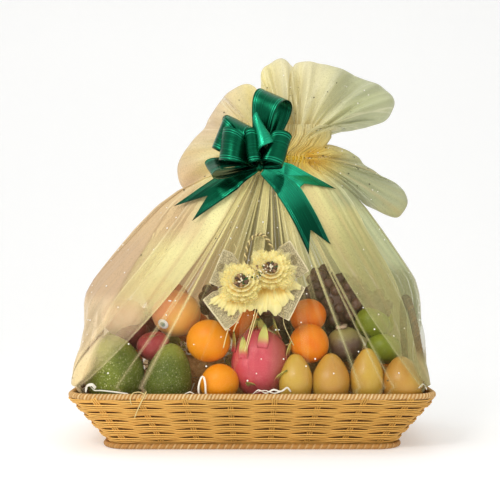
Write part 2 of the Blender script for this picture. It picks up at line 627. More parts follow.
def rounded_ring(length, width, corner, steps, out=0.0):
    """Points and outward directions round a rounded rectangle.

    The three steps are how many points an end, a corner and a side have.
    """
    length, width, corner = length + 2 * out, width + 2 * out, corner + out
    run_x, run_y = length / 2 - corner, width / 2 - corner
    end, bend, side = steps
    points, outs = [], []
    for quarter, hub in enumerate(((run_x, run_y), (-run_x, run_y), (-run_x, -run_y), (run_x, -run_y))):
        facing = math.pi / 2 * quarter
        outward = np.array([math.cos(facing), math.sin(facing), 0.0])
        along = np.array([-math.sin(facing), math.cos(facing), 0.0])
        run, count = (2 * run_y, end) if quarter % 2 == 0 else (2 * run_x, side)
        hub = np.array([*hub, 0.0])
        back = run * (1 - np.arange(count) / count)
        turn = facing + math.pi / 2 * np.arange(bend) / bend
        round_out = circle(turn, (1, 0, 0), (0, 1, 0))
        points += [hub + outward * corner - along * back[:, None], hub + round_out * corner]
        outs += [np.tile(outward, (count, 1)), round_out]
    return np.vstack(points), np.vstack(outs)


def wall_rings(fine, out=0.0):
    """The tray's outline at its foot and at its top, with the outward directions."""
    steps = (END_STAKES * fine, fine, SIDE_STAKES * fine)
    foot, outward = rounded_ring(BASE_LENGTH, BASE_WIDTH, BASE_CORNER, steps, out)
    top, _ = rounded_ring(
        RIM_LENGTH + WALL_THICKNESS, RIM_WIDTH + WALL_THICKNESS, RIM_CORNER + WALL_THICKNESS / 2, steps, out)
    return foot, top + UP * WALL_TOP, outward


def cane_finish(name, pale, middle, dark, depth=0.0004, sunny=0.0):
    """Split cane: fibres along each strand, strands of different tones, dark hollows."""
    f = Finish(name, Specular_IOR_Level=0.35)
    along, around, tone = f.value("along"), f.value("around"), f.value("tone")
    fibre = f.noise(f.join(along * 22, around * 9, tone * 60), 1.0, 4, 0.6)
    patch = f.noise(f.join(along * 5, tone * 31, 0.0), 1.0, 2)
    shade = fibre * 0.45 + patch * 0.35 + tone * 0.35 - 0.08
    base = f.coats(
        f.ramp(shade, (0.12, dark), (0.40, middle), (0.62, middle), (0.86, pale)),
        (dark, f.noise(f.place(), 90, 2).rise(0.66, 0.74, 0.0, 0.5)),
        (colour(250, 196, 104), f.axis(f.place(), 0).rise(-0.26, -0.02, sunny, 0.0)),
    )
    return f.done(Base_Color=base, Roughness=fibre * 0.25 + 0.40, Normal=f.bump(fibre, depth, 0.8))


def make_tray():
    """The woven wall: rows of three cane strands, over one group of stakes and under the next."""
    s = bpy.context.scene.hamper_tray
    rng = np.random.default_rng(3)
    fine = 14
    foot, top, outward = wall_rings(fine)
    count = len(foot)
    station = np.arange(count)
    row_height = (WALL_TOP - WEAVE_START) / WEAVE_ROWS
    slope = (RIM_LENGTH - BASE_LENGTH) / 2 / WALL_TOP
    normal = unit(outward - UP * slope * 0.9)
    lift = unit(top - foot)
    around = np.linspace(0, 1, 6)

    def on_wall(height, out):
        at = foot + (top - foot) * (height / WALL_TOP)[:, None]
        return at + normal * out[:, None]

    def wander(size):
        waves = sum(rng.normal() * np.sin(2 * np.pi * (k * station / count + rng.random())) / k**0.4
                    for k in rng.integers(3, 60, 9))
        return waves / 3 * size

    run = lengths(foot + (top - foot) * 0.5)
    pile = Pile()
    for row in range(WEAVE_ROWS):
        wave = np.cos(np.pi * station / fine + np.pi * row)
        over, under = np.clip(wave, 0, 1), np.clip(-wave, 0, 1)
        for strand in (-1, 0, 1):
            spread = strand * row_height / 3 * (1 + 0.42 * over**1.6 - 0.30 * under**1.6)
            height = WEAVE_START + (row + 0.5) * row_height + spread + wander(0.00028)
            out = s.front * over**0.6 - s.behind * under**0.6
            path = on_wall(height, out + wander(0.0002) - 0.0003 * abs(strand))
            shape = sweep(path, normal, lift, s.strand * 0.95, s.strand * 1.02, 6, True)
            pile.add(shape, along=run + rng.random(), around=np.tile(around, count), tone=rng.random())
    for height in (0.0022, 0.0052, 0.0082, 0.0110):
        path = on_wall(np.full(count, height), np.full(count, -0.0004))
        shape = sweep(path, normal, lift, s.strand, s.strand * 1.15, 6, True)
        pile.add(shape, along=run, around=np.tile(around, count), tone=rng.random())
    heights = np.linspace(0.004, WALL_TOP + 0.003, 12)
    for i in range(0, STAKES * fine, fine):
        beside = unit(np.cross(normal[i], lift[i]))
        for rod in (-1, 0, 1):
            path = foot[i] + (top[i] - foot[i]) * (heights / WALL_TOP)[:, None] + beside * rod * 0.0034
            shape = sweep(path - normal[i] * 0.0006, normal[i], beside, 0.0013, 0.0013, 6)
            pile.add(shape, along=heights, around=np.tile(around, 12), tone=0.05)
    cane = cane_finish("golden_cane", s.cane_pale, s.cane, s.cane_dark, sunny=0.7)
    pile.make("woven_tray", cane, "cane", "basket_tray")

    lining = Pile()
    inner_foot, inner_top, _ = wall_rings(4, -0.0046)
    low = inner_foot + np.array([0, 0, 0.0045])
    levels = [low + (inner_top - low) * v for v in np.linspace(0, 1, 8)]
    levels = [low * np.array([0.02, 0.02, 1]), low * np.array([0.5, 0.5, 1]), *levels]
    below = [level - np.array([0, 0, 0.0025]) for level in levels[2::-1]]
    lining.add(rings_shape(below + levels), tone=0.2, along=0.0, around=0.0)
    f = Finish("tray_lining", Roughness=0.8)
    weave = f.noise(f.place(), 160, 3)
    base = f.ramp(weave, (0.3, colour(96, 60, 28)), (0.8, s.cane_dark))
    lining.make("tray_lining", f.done(Base_Color=base, Normal=f.bump(weave, 0.0006)), "cane")


def twisted(pile, path, out, up, radius, strands, turns, sides, closed, tones, rng):
    """Lays the strands of a rope round its middle line."""
    share_of_run = np.linspace(0, 1, len(path), endpoint=not closed)
    run = share_of_run * np.linalg.norm(np.diff(path, axis=0), axis=1).sum()
    for k in range(strands):
        turn = 2 * np.pi * (turns * share_of_run + k / strands)
        away = out * np.cos(turn)[:, None] + up * np.sin(turn)[:, None]
        middle = path + away * radius * 0.56
        side = np.cross(unit(np.gradient(middle, axis=0)), away)
        shape = sweep(middle, unit(away), unit(side), radius * 0.43, radius * 0.50, sides, closed)
        around = np.tile(np.linspace(0, 1, sides), len(path))
        pile.add(shape, along=run + rng.random(), around=around, tone=tones[k])


def make_ropes():
    """The twisted borders of the rim and of the foot, and the wound handles."""
    s = bpy.context.scene.hamper_tray
    rng = np.random.default_rng(5)
    finish = cane_finish("rope_cane", s.rope_pale, s.rope_brown, s.cane_dark, 0.0003)
    borders = (
        ("rim_border", "rim_rope", (RIM_LENGTH, RIM_WIDTH, RIM_CORNER, (40, 12, 70)), RIM_ROPE_HEIGHT,
         RIM_ROPE_RADIUS, 0.0),
        ("foot_border", "foot_rope", (BASE_LENGTH, BASE_WIDTH, BASE_CORNER, (40, 12, 60), FOOT_ROPE_OUT),
         FOOT_ROPE_RADIUS, FOOT_ROPE_RADIUS, 0.30),
    )
    for name, node, outline, height, radius, darker in borders:
        ring, outward = (np.vstack([table, table[:1]]) for table in rounded_ring(*outline))
        turns = round(lengths(ring)[-1] / s.rope_pitch)
        ring, outward = resample(ring, turns * 12 + 1, outward)
        ring, outward = ring[:-1] + UP * height, unit(outward[:-1])
        tones = [tone - darker for tone in (1.35, 0.35, 1.15, 0.55)]
        pile = Pile()
        twisted(pile, ring, outward, UP, radius, 4, turns, 6, True, tones, rng)
        pile.make(name, finish, "cane_rope", node)

    handle_finish = cane_finish("handle_cane", s.cane, colour(134, 92, 44), s.cane_dark)
    foot = RIM_ROPE_HEIGHT + RIM_ROPE_RADIUS + 0.0004
    t = np.pi * np.linspace(0, 1, 197)
    rise = np.sin(t)
    for name, side, darker in (("left", -1, 0.0), ("right", 1, 0.45)):
        x = side * (RIM_LENGTH / 2 - HANDLE_INSET - HANDLE_LEAN * rise)
        path = np.stack([x, -HANDLE_HALF_SPAN * np.cos(t), foot + (HANDLE_TOP - foot) * rise], 1)
        up = unit(np.cross(unit(np.gradient(path, axis=0)), RIGHT))
        tones = [tone - darker for tone in (0.8, 0.1, 0.5, 0.25)]
        pile = Pile()
        twisted(pile, path, RIGHT, up, HANDLE_RADIUS, 4, 14, 7, False, tones, rng)
        pile.make(f"wound_handle_{name}", handle_finish, "cane_rope", f"handle_{name}")


def ball(rings, turns):
    """Directions from the middle of a round fruit, with its quads and the fans at its two poles."""
    tilt = np.pi * (np.arange(rings) + 1) / (rings + 1)
    level = circle(2 * np.pi * np.arange(turns) / turns, (1, 0, 0), (0, 1, 0))
    points = np.sin(tilt)[:, None, None] * level + np.cos(tilt)[:, None, None] * UP
    points = np.vstack([points.reshape(-1, 3), UP, (0, 0, -1)])
    i = np.arange(turns)
    j, last, top = (i + 1) % turns, (rings - 1) * turns, rings * turns
    caps = np.vstack([np.stack([i, j, i * 0 + top], 1), np.stack([last + j, last + i, i * 0 + top + 1], 1)])
    return points, grid_faces(rings, turns, False, True), caps


def lumps(points, rng, size, count=7):
    """A smooth uneven field from -1 to 1, with lumps of about the given size."""
    waves = unit(rng.normal(size=(count, 3))) * 2 * np.pi / size
    return np.sin(points @ waves.T + rng.random(count) * 6.3).mean(1) * 1.6


def turned(axis, spin=0.0):
    """The rotation that takes +Z to an axis, after a spin about +Z."""
    c, s = math.cos(spin), math.sin(spin)
    about_z = np.array([[c, -s, 0], [s, c, 0], [0, 0, 1]])
    return np.array(Vector(axis).to_track_quat("Z", "Y").to_matrix()) @ about_z


def plain_form(d, rng):
    """A plain ball."""
    return d


def grow(pile, middle, size, shape, rng, axis=(0, 0, 1), detail=(26, 36), tone=None, spin=None):
    """Adds one fruit: its form in its own frame, its size, and where its stem end points."""
    d, quads, caps = ball(*detail)
    spin = rng.random() * 6.3 if spin is None else spin
    local = shape(d, rng) * np.asarray(size)
    pile.add((local @ turned(axis, spin).T + np.asarray(middle), quads, caps), skin=d,
             tone=rng.random() if tone is None else tone)


def pole(d, width):
    """1 at the stem end, falling away over an angle."""
    return np.exp(-((np.arccos(np.clip(d[:, 2], -1, 1)) / width) ** 2))


def orange_form(d, rng):
    p = d * (1 + 0.018 * lumps(d, rng, 1.6))[:, None] * np.array([1, 1, 0.95])
    p[:, 2] -= 0.075 * pole(d, 0.22) - 0.03 * pole(-d, 0.2)
    return p


def apple_form(d, rng):
    p = d * (1 + 0.03 * lumps(d, rng, 1.9))[:, None] * np.array([1, 1, 0.92])
    p[:, :2] *= (1 + 0.10 * d[:, 2:])
    lobes = np.cos(5 * np.arctan2(d[:, 1], d[:, 0]))
    p[:, 2] += -0.34 * pole(d, 0.36) + (0.18 + 0.05 * lobes) * pole(-d, 0.42)
    return p


def pear_form(d, rng):
    p = d.copy()
    neck = ease(d[:, 2], -0.3, 1.0)
    p[:, :2] *= (1 - 0.13 * neck[:, None])
    bumps = 0.010 * lumps(d, rng, 0.30, 14) + 0.008 * lumps(d, rng, 0.17, 14)
    return p * (1 + bumps + 0.02 * lumps(d, rng, 1.5))[:, None]


def mango_form(d, rng):
    p = d * (1 + 0.022 * lumps(d, rng, 1.4))[:, None]
    narrow = 1 - 0.20 * ease(d[:, 2], 0.1, 1.0) - 0.06 * ease(-d[:, 2], 0.2, 1.0)
    p[:, :2] *= narrow[:, None]
    p[:, 0] += 0.10 * d[:, 2] ** 2 * rng.choice([-1, 1])
    return p


def peach_form(d, rng):
    groove = np.exp(-(np.arctan2(d[:, 1], d[:, 0]) / 0.22) ** 2) * (1 - d[:, 2] ** 2)
    p = d * (1 + 0.02 * lumps(d, rng, 1.6) - 0.035 * groove)[:, None] * np.array([1, 1, 0.96])
    p[:, 2] -= 0.14 * pole(d, 0.28)
    return p


def peel_finish(name, low, high, rough, pores, pore_depth, flecks=None):
    """Fruit skin: two tones across it, fine pores, and flecks where it has them."""
    f = Finish(name, Subsurface_Weight=0.08, Subsurface_Radius=PEEL_GLOW, Specular_IOR_Level=0.28)
    skin, place = f.vector("skin"), f.place()
    cloud = f.noise(skin, 1.6, 3, 0.55)
    fine = f.noise(place, pores, 2, 0.6)
    base = f.coats(
        low,
        (high, (f.value("tone") * 0.9 + cloud * 0.8 - 0.38).rise(0.0, 1.0)),
        (scaled(high, 0.55), fine.rise(0.58, 0.80, 0.0, 0.35)),
    )
    if flecks:
        base = f.mix(base, flecks, f.spots(place, 260, 0.10, 0.26) * 0.55)
    base = f.mix(base, colour(96, 92, 40), f.axis(skin, 2).rise(0.965, 0.995))
    return f.done(Base_Color=base, Roughness=cloud * 0.14 + rough, Normal=f.bump(fine, pore_depth, 0.7))


def make_citrus():
    """The oranges."""
    s = bpy.context.scene.hamper_fruit
    rng = np.random.default_rng(21)
    pile = Pile()
    for middle, radius, tone in ORANGES:
        axis = (rng.normal() * 0.5, 0.3 + rng.random() * 0.6, 0.9)
        grow(pile, middle, radius, orange_form, rng, axis, tone=tone)
    pile.make("oranges", peel_finish("orange_peel", s.orange, s.orange_deep, 0.34, 620, 0.0005), "net")


def make_orchard_fruit():
    """The avocados, three kinds of apple, and the peach with the yellow fruit behind it."""
    s = bpy.context.scene.hamper_fruit
    rng = np.random.default_rng(22)
    pile = Pile()
    for middle, size, tone in AVOCADOS:
        grow(pile, middle, size, pear_form, rng, (rng.normal() * 0.12, 0.1, 1), (44, 64), tone)
    f = Finish("avocado_skin", Specular_IOR_Level=0.22)
    place, skin = f.place(), f.vector("skin")
    flecks = f.noise(place, 260, 3, 0.7)
    top = f.axis(skin, 2).rise(0.25, 1.0) * 0.55 - f.axis(place, 0) * 0.8
    base = f.coats(
        s.avocado,
        (s.avocado_pale, (top + f.noise(place, 26, 3) * 0.55 - 0.30).rise(0.0, 0.85)),
        (colour(210, 210, 146), f.spots(place, 230, 0.12, 0.32) * 0.8),
        (colour(30, 42, 20), flecks.rise(0.52, 0.68, 0.0, 0.62)),
        (colour(52, 66, 18), f.axis(skin, 1).rise(-0.80, -0.20, 0.0, 0.5)),
    )
    skin = f.done(Base_Color=base, Roughness=flecks * 0.25 + 0.36, Normal=f.bump(flecks, 0.0010, 0.8))
    pile.make("avocados", skin, "net")

    for name, skin, fruits, sway, lean, low, high, rough, flecks in (
        ("red_apples", "apple_skin", APPLES, 0.25, -0.25,
         s.apple, scaled(s.apple, 0.5), 0.26, colour(206, 130, 100)),
        ("blush_apples", "blush_skin", PINK_FRUIT, 0.25, 0.2,
         colour(255, 218, 184), colour(246, 166, 140), 0.34, colour(255, 236, 206)),
        ("green_apples", "green_apple_skin", GREEN_APPLES, 0.3, 0.3,
         s.green_apple, colour(118, 130, 30), 0.30, colour(196, 200, 104)),
    ):
        pile = Pile()
        for middle, radius, *tone in fruits:
            axis = (rng.normal() * sway, lean, 1)
            grow(pile, middle, radius, apple_form, rng, axis, tone=tone[0] if tone else None)
        pile.make(name, peel_finish(skin, low, high, rough, 300, 0.0001, flecks), "net")

    pile = Pile()
    grow(pile, *PEACH, peach_form, rng, (0.25, 0.3, 0.92), (40, 56), 0.5, 0.0)
    grow(pile, *YELLOW_FRUIT, peach_form, rng, (-0.2, 0.3, 0.9), (30, 40), 0.0, 1.0)
    f = Finish("peach_skin", Subsurface_Weight=0.15, Subsurface_Radius=PEEL_GLOW, Sheen_Weight=0.25)
    place = f.place()
    side = f.axis(place, 0) * -9 + f.axis(place, 2) * 10 - f.value("tone") * 0.2
    cloud = f.noise(place, 34, 3, 0.6)
    base = f.coats(
        s.peach,
        (s.peach_blush, (side - 3.45 + cloud * 0.9).rise(0.0, 0.9) * f.value("tone") * 2),
        (colour(206, 92, 50), f.noise(place, 260, 3, 0.7).rise(0.55, 0.8, 0.0, 0.5)),
    )
    skin = f.done(Base_Color=base, Roughness=cloud * 0.2 + 0.42, Normal=f.bump(cloud, 0.0006, 0.5))
    pile.make("peach", skin, "net")


def make_mangoes():
    """The row of small mangoes at the front, and four that lie behind."""
    s = bpy.context.scene.hamper_fruit
    rng = np.random.default_rng(24)
    pile = Pile()
    for x, half, top, tone in SMALL_MANGOES:
        height = (top - MANGO_FOOT) / 2
        axis = (rng.normal() * 0.03, 0.04, 1)
        size = (half * 1.06, half * 1.02, height)
        grow(pile, (x, MANGO_Y, MANGO_FOOT + height), size, mango_form, rng, axis,
             (40, 48), tone, spin=rng.choice([0.0, 3.1]))
    for middle in ((0.200, 0.090, 0.100), (0.120, 0.055, 0.160), (-0.030, 0.145, 0.095),
                   (-0.120, 0.140, 0.090)):
        grow(pile, middle, (0.029, 0.028, 0.048), mango_form, rng, (rng.normal(), 0.4, 0.3), (30, 40))
    f = Finish("mango_skin", Subsurface_Weight=0.12, Subsurface_Radius=PEEL_GLOW, Coat_Weight=0.1)
    place, skin = f.place(), f.vector("skin")
    cloud = f.noise(place, 30, 3, 0.6)
    side = f.axis(skin, 0).rise(-0.2, 1.0) * 0.35
    base = f.coats(
        s.mango,
        (s.mango_brown, (cloud * 0.9 + f.value("tone") * 0.8 + side - 0.42).rise(0.0, 1.0)),
        (colour(120, 74, 36), f.spots(place, 150, 0.02, 0.12) * 0.7),
        (colour(132, 84, 44), f.axis(skin, 2).size().rise(0.93, 1.0, 0.0, 0.5)),
    )
    fine = f.bump(f.noise(place, 500, 2), 0.0002, 0.5)
    pile.make("small_mangoes", f.done(Base_Color=base, Roughness=cloud * 0.16 + 0.34, Normal=fine), "net")


def scale_leaf(root, out, along, length, width, curl, pile):
    """A fleshy scale: rooted flat on the fruit, with a tip that lifts away and curls."""
    t = np.linspace(0, 1, 12)[:, None]
    v = np.linspace(-1, 1, 7)[None, :]
    half = width * np.sqrt(np.clip(1 - t, 0, 1)) * (0.75 + 0.25 * np.sin(np.pi * t)) + 0.0003
    flat = root + along * (t * length)[..., None] + np.cross(out, along) * (half * v)[..., None]
    rise = -0.0015 + curl * t**1.7 * length + 0.28 * half * v**2
    thick = 0.0009
    under = rise - thick * (1 - 0.7 * t)
    shape = slab(flat + out * (rise + thick)[..., None], flat + out * under[..., None])
    pile.add(shape, tip=np.tile(np.repeat(t, 7), 2), skin=shape[0] * 0)


def make_dragon_fruit():
    """The dragon fruit and its scales."""
    s = bpy.context.scene.hamper_fruit
    rng = np.random.default_rng(25)
    middle, size = (np.array(part) for part in DRAGON_FRUIT)
    d, quads, caps = ball(48, 64)
    form = d * (1 + 0.03 * lumps(d, rng, 1.2) + 0.012 * lumps(d, rng, 0.5, 12))[:, None]
    pile = Pile()
    pile.add((form * size + middle, quads, caps), skin=d, tip=0.0)
    for azimuth, rise, long, curl in DRAGON_SCALES:
        a, e = math.radians(azimuth), math.radians(rise)
        out = np.array([math.cos(a) * math.cos(e), math.sin(a) * math.cos(e), math.sin(e)])
        root = middle + out * size
        out = unit(out / size)
        up = np.array([out[0] * 0.15 + rng.normal() * 0.12, 0.0, 1.0])
        along = unit(up - out * (up @ out))
        scale_leaf(root, out, along, 0.031 * long, 0.0105 * (0.8 + 0.3 * rng.random()), curl, pile)
    f = Finish("dragon_skin", Subsurface_Weight=0.10, Subsurface_Radius=PEEL_GLOW)
    place, tip = f.place(), f.value("tip")
    cloud = f.noise(place, 40, 3, 0.6)
    long = f.node("ShaderNodeVectorMath", {"operation": "MULTIPLY"}, {0: place, 1: (240, 240, 40)})
    veins = f.noise(long, 1.0, 2)
    base = f.coats(
        s.dragon,
        (colour(232, 120, 128), cloud.rise(0.45, 0.8, 0.0, 0.7)),
        (colour(158, 82, 68), f.axis(place, 0).rise(0.015, 0.05) * 0.75),
        (colour(160, 44, 62), veins.rise(0.5, 0.8, 0.0, 0.35)),
        (s.dragon_tip, tip.rise(0.10, 0.55)),
        (colour(120, 134, 54), tip.rise(0.75, 1.0)),
    )
    skin = f.done(Base_Color=base, Roughness=cloud * 0.2 + 0.36, Normal=f.bump(veins, 0.0006, 0.6))
    pile.make("dragon_fruit", skin, "net")


def make_dark_fruit():
    """The round dark fruit with its woody cap, and the grapes behind it."""
    s = bpy.context.scene.hamper_fruit
    rng = np.random.default_rng(26)
    middle, radius = ROUND_DARK
    pile = Pile()
    grow(pile, middle, radius, orange_form, rng, DARK_LEAN, (36, 48), 0.4)
    f = Finish("round_dark_skin", Specular_IOR_Level=0.4)
    cloud = f.noise(f.place(), 60, 4, 0.65)
    base = f.coats(
        s.round_dark,
        (colour(154, 142, 82), (f.axis(f.vector("skin"), 2) * 0.9 + cloud - 0.55).rise(0.0, 0.8)),
        (colour(72, 52, 46), cloud.rise(0.5, 0.72, 0.0, 0.5)),
    )
    skin = f.done(Base_Color=base, Roughness=cloud * 0.2 + 0.34, Normal=f.bump(cloud, 0.0008, 0.6))
    pile.make("round_dark_fruit", skin, "net")

    cap = Pile()
    turn = np.linspace(0, 2 * np.pi, 37)[:-1]
    lobed = (1 + 0.14 * np.cos(4 * turn) + 0.04 * np.cos(9 * turn))[:, None] * circle(turn, RIGHT, (0, 1, 0))
    # Reach and height of the rings of the cap, from under its brim to the middle of its top
    rings = ((0.0060, -0.001), (0.0098, 0.0005), (0.0104, 0.0016), (0.0098, 0.0034), (0.0086, 0.0042),
             (0.0030, 0.0046))
    points = np.array([lobed * reach + UP * (radius * 0.93 + height) for reach, height in rings])
    faces = grid_faces(6, 36, False, True)[:, ::-1]
    ends = np.array([np.arange(36), np.arange(36)[::-1] + 36 * 5])
    cap.add((points @ turned(DARK_LEAN).T + middle, faces, ends), tone=0.5)
    f = Finish("woody_cap", Roughness=0.7)
    grain = f.noise(f.place(), 420, 3)
    base = f.ramp(grain, (0.3, colour(150, 120, 96)), (0.75, colour(214, 190, 158)))
    cap.make("fruit_cap", f.done(Base_Color=base, Normal=f.bump(grain, 0.0004)), "seed")

    grapes = Pile()
    golden = math.pi * (3 - math.sqrt(5))
    for hub, half, count in GRAPES:
        half = np.array(half)
        grow(grapes, hub, half * 0.90, plain_form, rng, detail=(20, 28), tone=0.4, spin=0.0)
        for i in range(count):
            z = 1 - 2 * (i + 0.5) / count
            ring = math.sqrt(1 - z * z)
            out = np.array([ring * math.cos(golden * i), ring * math.sin(golden * i), z])
            at = np.array(hub) + out * half * (0.86 + 0.10 * rng.random())
            size = 0.0098 + 0.0016 * rng.random()
            axis = out + rng.normal(size=3) * 0.4
            grow(grapes, at, (size * 0.94, size * 0.94, size * 1.1), plain_form, rng, axis, (9, 12))
    f = Finish("grape_skin", Subsurface_Weight=0.2, Subsurface_Radius=(0.004, 0.001, 0.001))
    bloom = f.noise(f.place(), 90, 3, 0.6)
    base = f.coats(
        s.grape,
        (colour(84, 56, 52), f.value("tone")),
        (colour(150, 126, 112), bloom.rise(0.45, 0.8, 0.0, 0.5)),
    )
    skin = f.done(Base_Color=base, Roughness=bloom * 0.4 + 0.22, Normal=f.bump(bloom, 0.0003, 0.4))
    grapes.make("grapes", skin, "net")


def strip(pile, route, width, hint, count, tone, twist):
    """A flat strip of paper along a route, twisting as it goes."""
    path = smooth_route(route, count)
    across, up = frames(path, hint)
    turn = np.linspace(0, twist, count)[:, None]
    side = across * np.cos(turn) + up * np.sin(turn)
    points = np.stack([path - side * width / 2, path + side * width / 2], 1)
    pile.add((points, grid_faces(count, 2)), tone=tone)


def bed_height(x, y):
    """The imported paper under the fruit: level at the rim and heaped up in the middle."""
    level = 0.070 + 0.004 * np.sin(34 * x + 20 * y) + 0.004 * np.cos(46 * y - 19 * x)
    heap = 0.078 * (1 - ease(abs(x), 0.13, 0.25)) * (1 - ease(abs(y - 0.02), 0.02, 0.12))
    return level + heap - 0.012 * np.maximum(abs(x) / BED_LENGTH, abs(y) / BED_WIDTH) ** 8


def make_paper():
    """Shredded paper: a packed bed, loose strips over it, and the pieces that show along the front."""
    s = bpy.context.scene.hamper_fruit
    rng = np.random.default_rng(27)
    bed = Pile()
    x, y = np.meshgrid(np.linspace(-BED_LENGTH, BED_LENGTH, 91), np.linspace(-BED_WIDTH, BED_WIDTH, 51))
    z = bed_height(x, y) + 0.0020 * rng.normal(size=x.shape)
    bed.add((np.stack([x, y, z], -1), grid_faces(51, 91)), tone=0.5)
    f = Finish("paper_bed", Roughness=0.9)
    crease = f.noise(f.place(), 130, 4, 0.7)
    base = f.ramp(crease, (0.35, colour(158, 102, 50)), (0.7, colour(214, 162, 98)))
    bed.make("paper_bed", f.done(Base_Color=base, Normal=f.bump(crease, 0.004)), "net")

    shreds = Pile()
    for _ in range(420):
        x, y = rng.uniform(-0.262, 0.262), rng.uniform(-BED_WIDTH, BED_WIDTH)
        heading = rng.uniform(0, 6.3)
        step = np.array([math.cos(heading), math.sin(heading), 0]) * rng.uniform(0.008, 0.015)
        at = np.array([x, y, bed_height(x, y) + rng.uniform(0.004, 0.014)])
        route = [at + step * k + rng.normal(size=3) * (0.003, 0.003, 0.004) for k in range(4)]
        route = np.clip(route, (-0.272, -0.156, 0.060), (0.272, 0.156, 0.165))
        strip(shreds, route, rng.uniform(0.0016, 0.0034), (0.1, 0.2, 1), 12, rng.random(), rng.normal() * 1.5)
    for width, twist, *route in FRONT_SHREDS:
        strip(shreds, route, width, (0.0, -0.35, 1.0), 40, 1.0, twist)
    f = Finish("shredded_paper")
    grain = f.noise(f.place(), 500, 2)
    base = f.mix(scaled(s.paper, 0.82), s.paper, f.value("tone"))
    white = f.done(Base_Color=base, Roughness=grain * 0.2 + 0.5, Normal=f.bump(grain, 0.0002, 0.4))
    shreds.make("paper_shreds", white, "net")


def make_sticker():
    """A plain round label on the peach."""
    middle, radius = np.array(PEACH[0]), PEACH[1]
    at = np.array([STICKER_PLACE[0], middle[1], STICKER_PLACE[1]])
    at[1] -= math.sqrt(radius**2 - ((at - middle) ** 2).sum())
    out = unit(at - middle)
    across = unit(np.cross(out, UP))
    turn = np.linspace(0, 2 * np.pi, 41)[:-1]
    flat = circle(turn, across * 1.15, np.cross(across, out))
    rings = []
    for reach, rise in ((1e-5, 0.0010), (0.002, 0.0010), (0.0056, 0.0010), (0.0090, 0.0009),
                        (0.0092, 0.0002)):
        rings.append(middle + unit(at + flat * reach + out * rise - middle) * (radius + rise))
    pile = Pile()
    pile.add(rings_shape(rings), ring=(0.0, 0.25, 0.6, 0.98, 1.0))
    f = Finish("plain_label", Coat_Weight=0.3)
    base = f.ramp(f.value("ring"), (0.0, colour(126, 150, 132)), (0.45, colour(150, 172, 156)),
                  (0.56, colour(246, 246, 240)), (1.0, colour(238, 238, 230)))
    label = f.done(Base_Color=base, Roughness=f.noise(f.place(), 300, 2) * 0.3 + 0.2)
    pile.make("plain_label", label, "net")


def wrap_section(height):
    """(left, right, half depth, squareness) of the wrap's plan at each height."""
    rows = np.array(WRAP_PROFILE)
    return [np.interp(height, rows[:, 0], rows[:, k]) for k in range(1, 5)]


def wrap_front(x, height):
    """Where the front of the smooth wrap is, for places across it at their heights."""
    left, right, depth, square = wrap_section(height)
    across = np.minimum(1.0, abs(x - (left + right) / 2) / ((right - left) / 2))
    return -depth * (1 - across**square) ** (1 / square)


def folded_columns(pleats, span, step, finest=5):
    """Columns round a cloth of which each pleat, (place, reach, weight), is folded back on itself.

    Gives for each column its place, its reach into a fold, how many layers it lies out, how near it is to a
    folded edge, the weight of its cloth, and 1 where the cloth turns.
    """
    pleats = sorted(pleats)
    columns = []
    for (place, reach, weight), (following, _, _) in zip(pleats, [*pleats[1:], (pleats[0][0] + span, 0, 0)]):
        c = np.linspace(0, 1, max(finest, int(abs(reach) / step)))
        near_tip, near_root = (np.exp(-(d * abs(reach) / (0.30 * step)) ** 2) for d in (1 - c, c))
        near = list(zip(c, near_tip, near_root))
        top = [(place, reach * v, 2.0 - 0.5 * e, max(e, 0.3 * r), weight, float(v == 1)) for v, e, r in near]
        under = [(place, reach * v, 1.0 + 0.5 * e, max(e, r), weight, float(v in (0, 1))) for v, e, r in near]
        columns += top + under[-2::-1] if reach > 0 else under + top[-2::-1]
        plain = np.linspace(place, following, max(3, int((following - place) / step)) + 1)[1:-1]
        columns += [(p, 0.0, 0.0, 0.0, 1.0, 0.0) for p in plain]
    return np.array(columns).T


# The net is cut as a square of this side, and wrap and ruffle are gathered from it
WRAP_PLEATS = (
    # place round the plan (0 to 1 is the front, left to right), reach of the fold, weight of its cloth
    (0.003, -0.34, 9.0), (3.90, -0.10, 4.0), (0.110, 0.072, 3.0), (0.183, 0.014, 8.0), (0.330, 0.05, 1.5),
    (0.440, 0.105, 3.0), (0.563, 0.014, 4.0), (0.632, 0.012, 4.0), (0.660, 0.10, 2.0), (0.760, -0.05, 2.0),
    (0.814, -0.018, 6.0), (0.885, -0.02, 5.0), (0.912, -0.030, 5.0), (0.992, 0.34, 8.0),
)


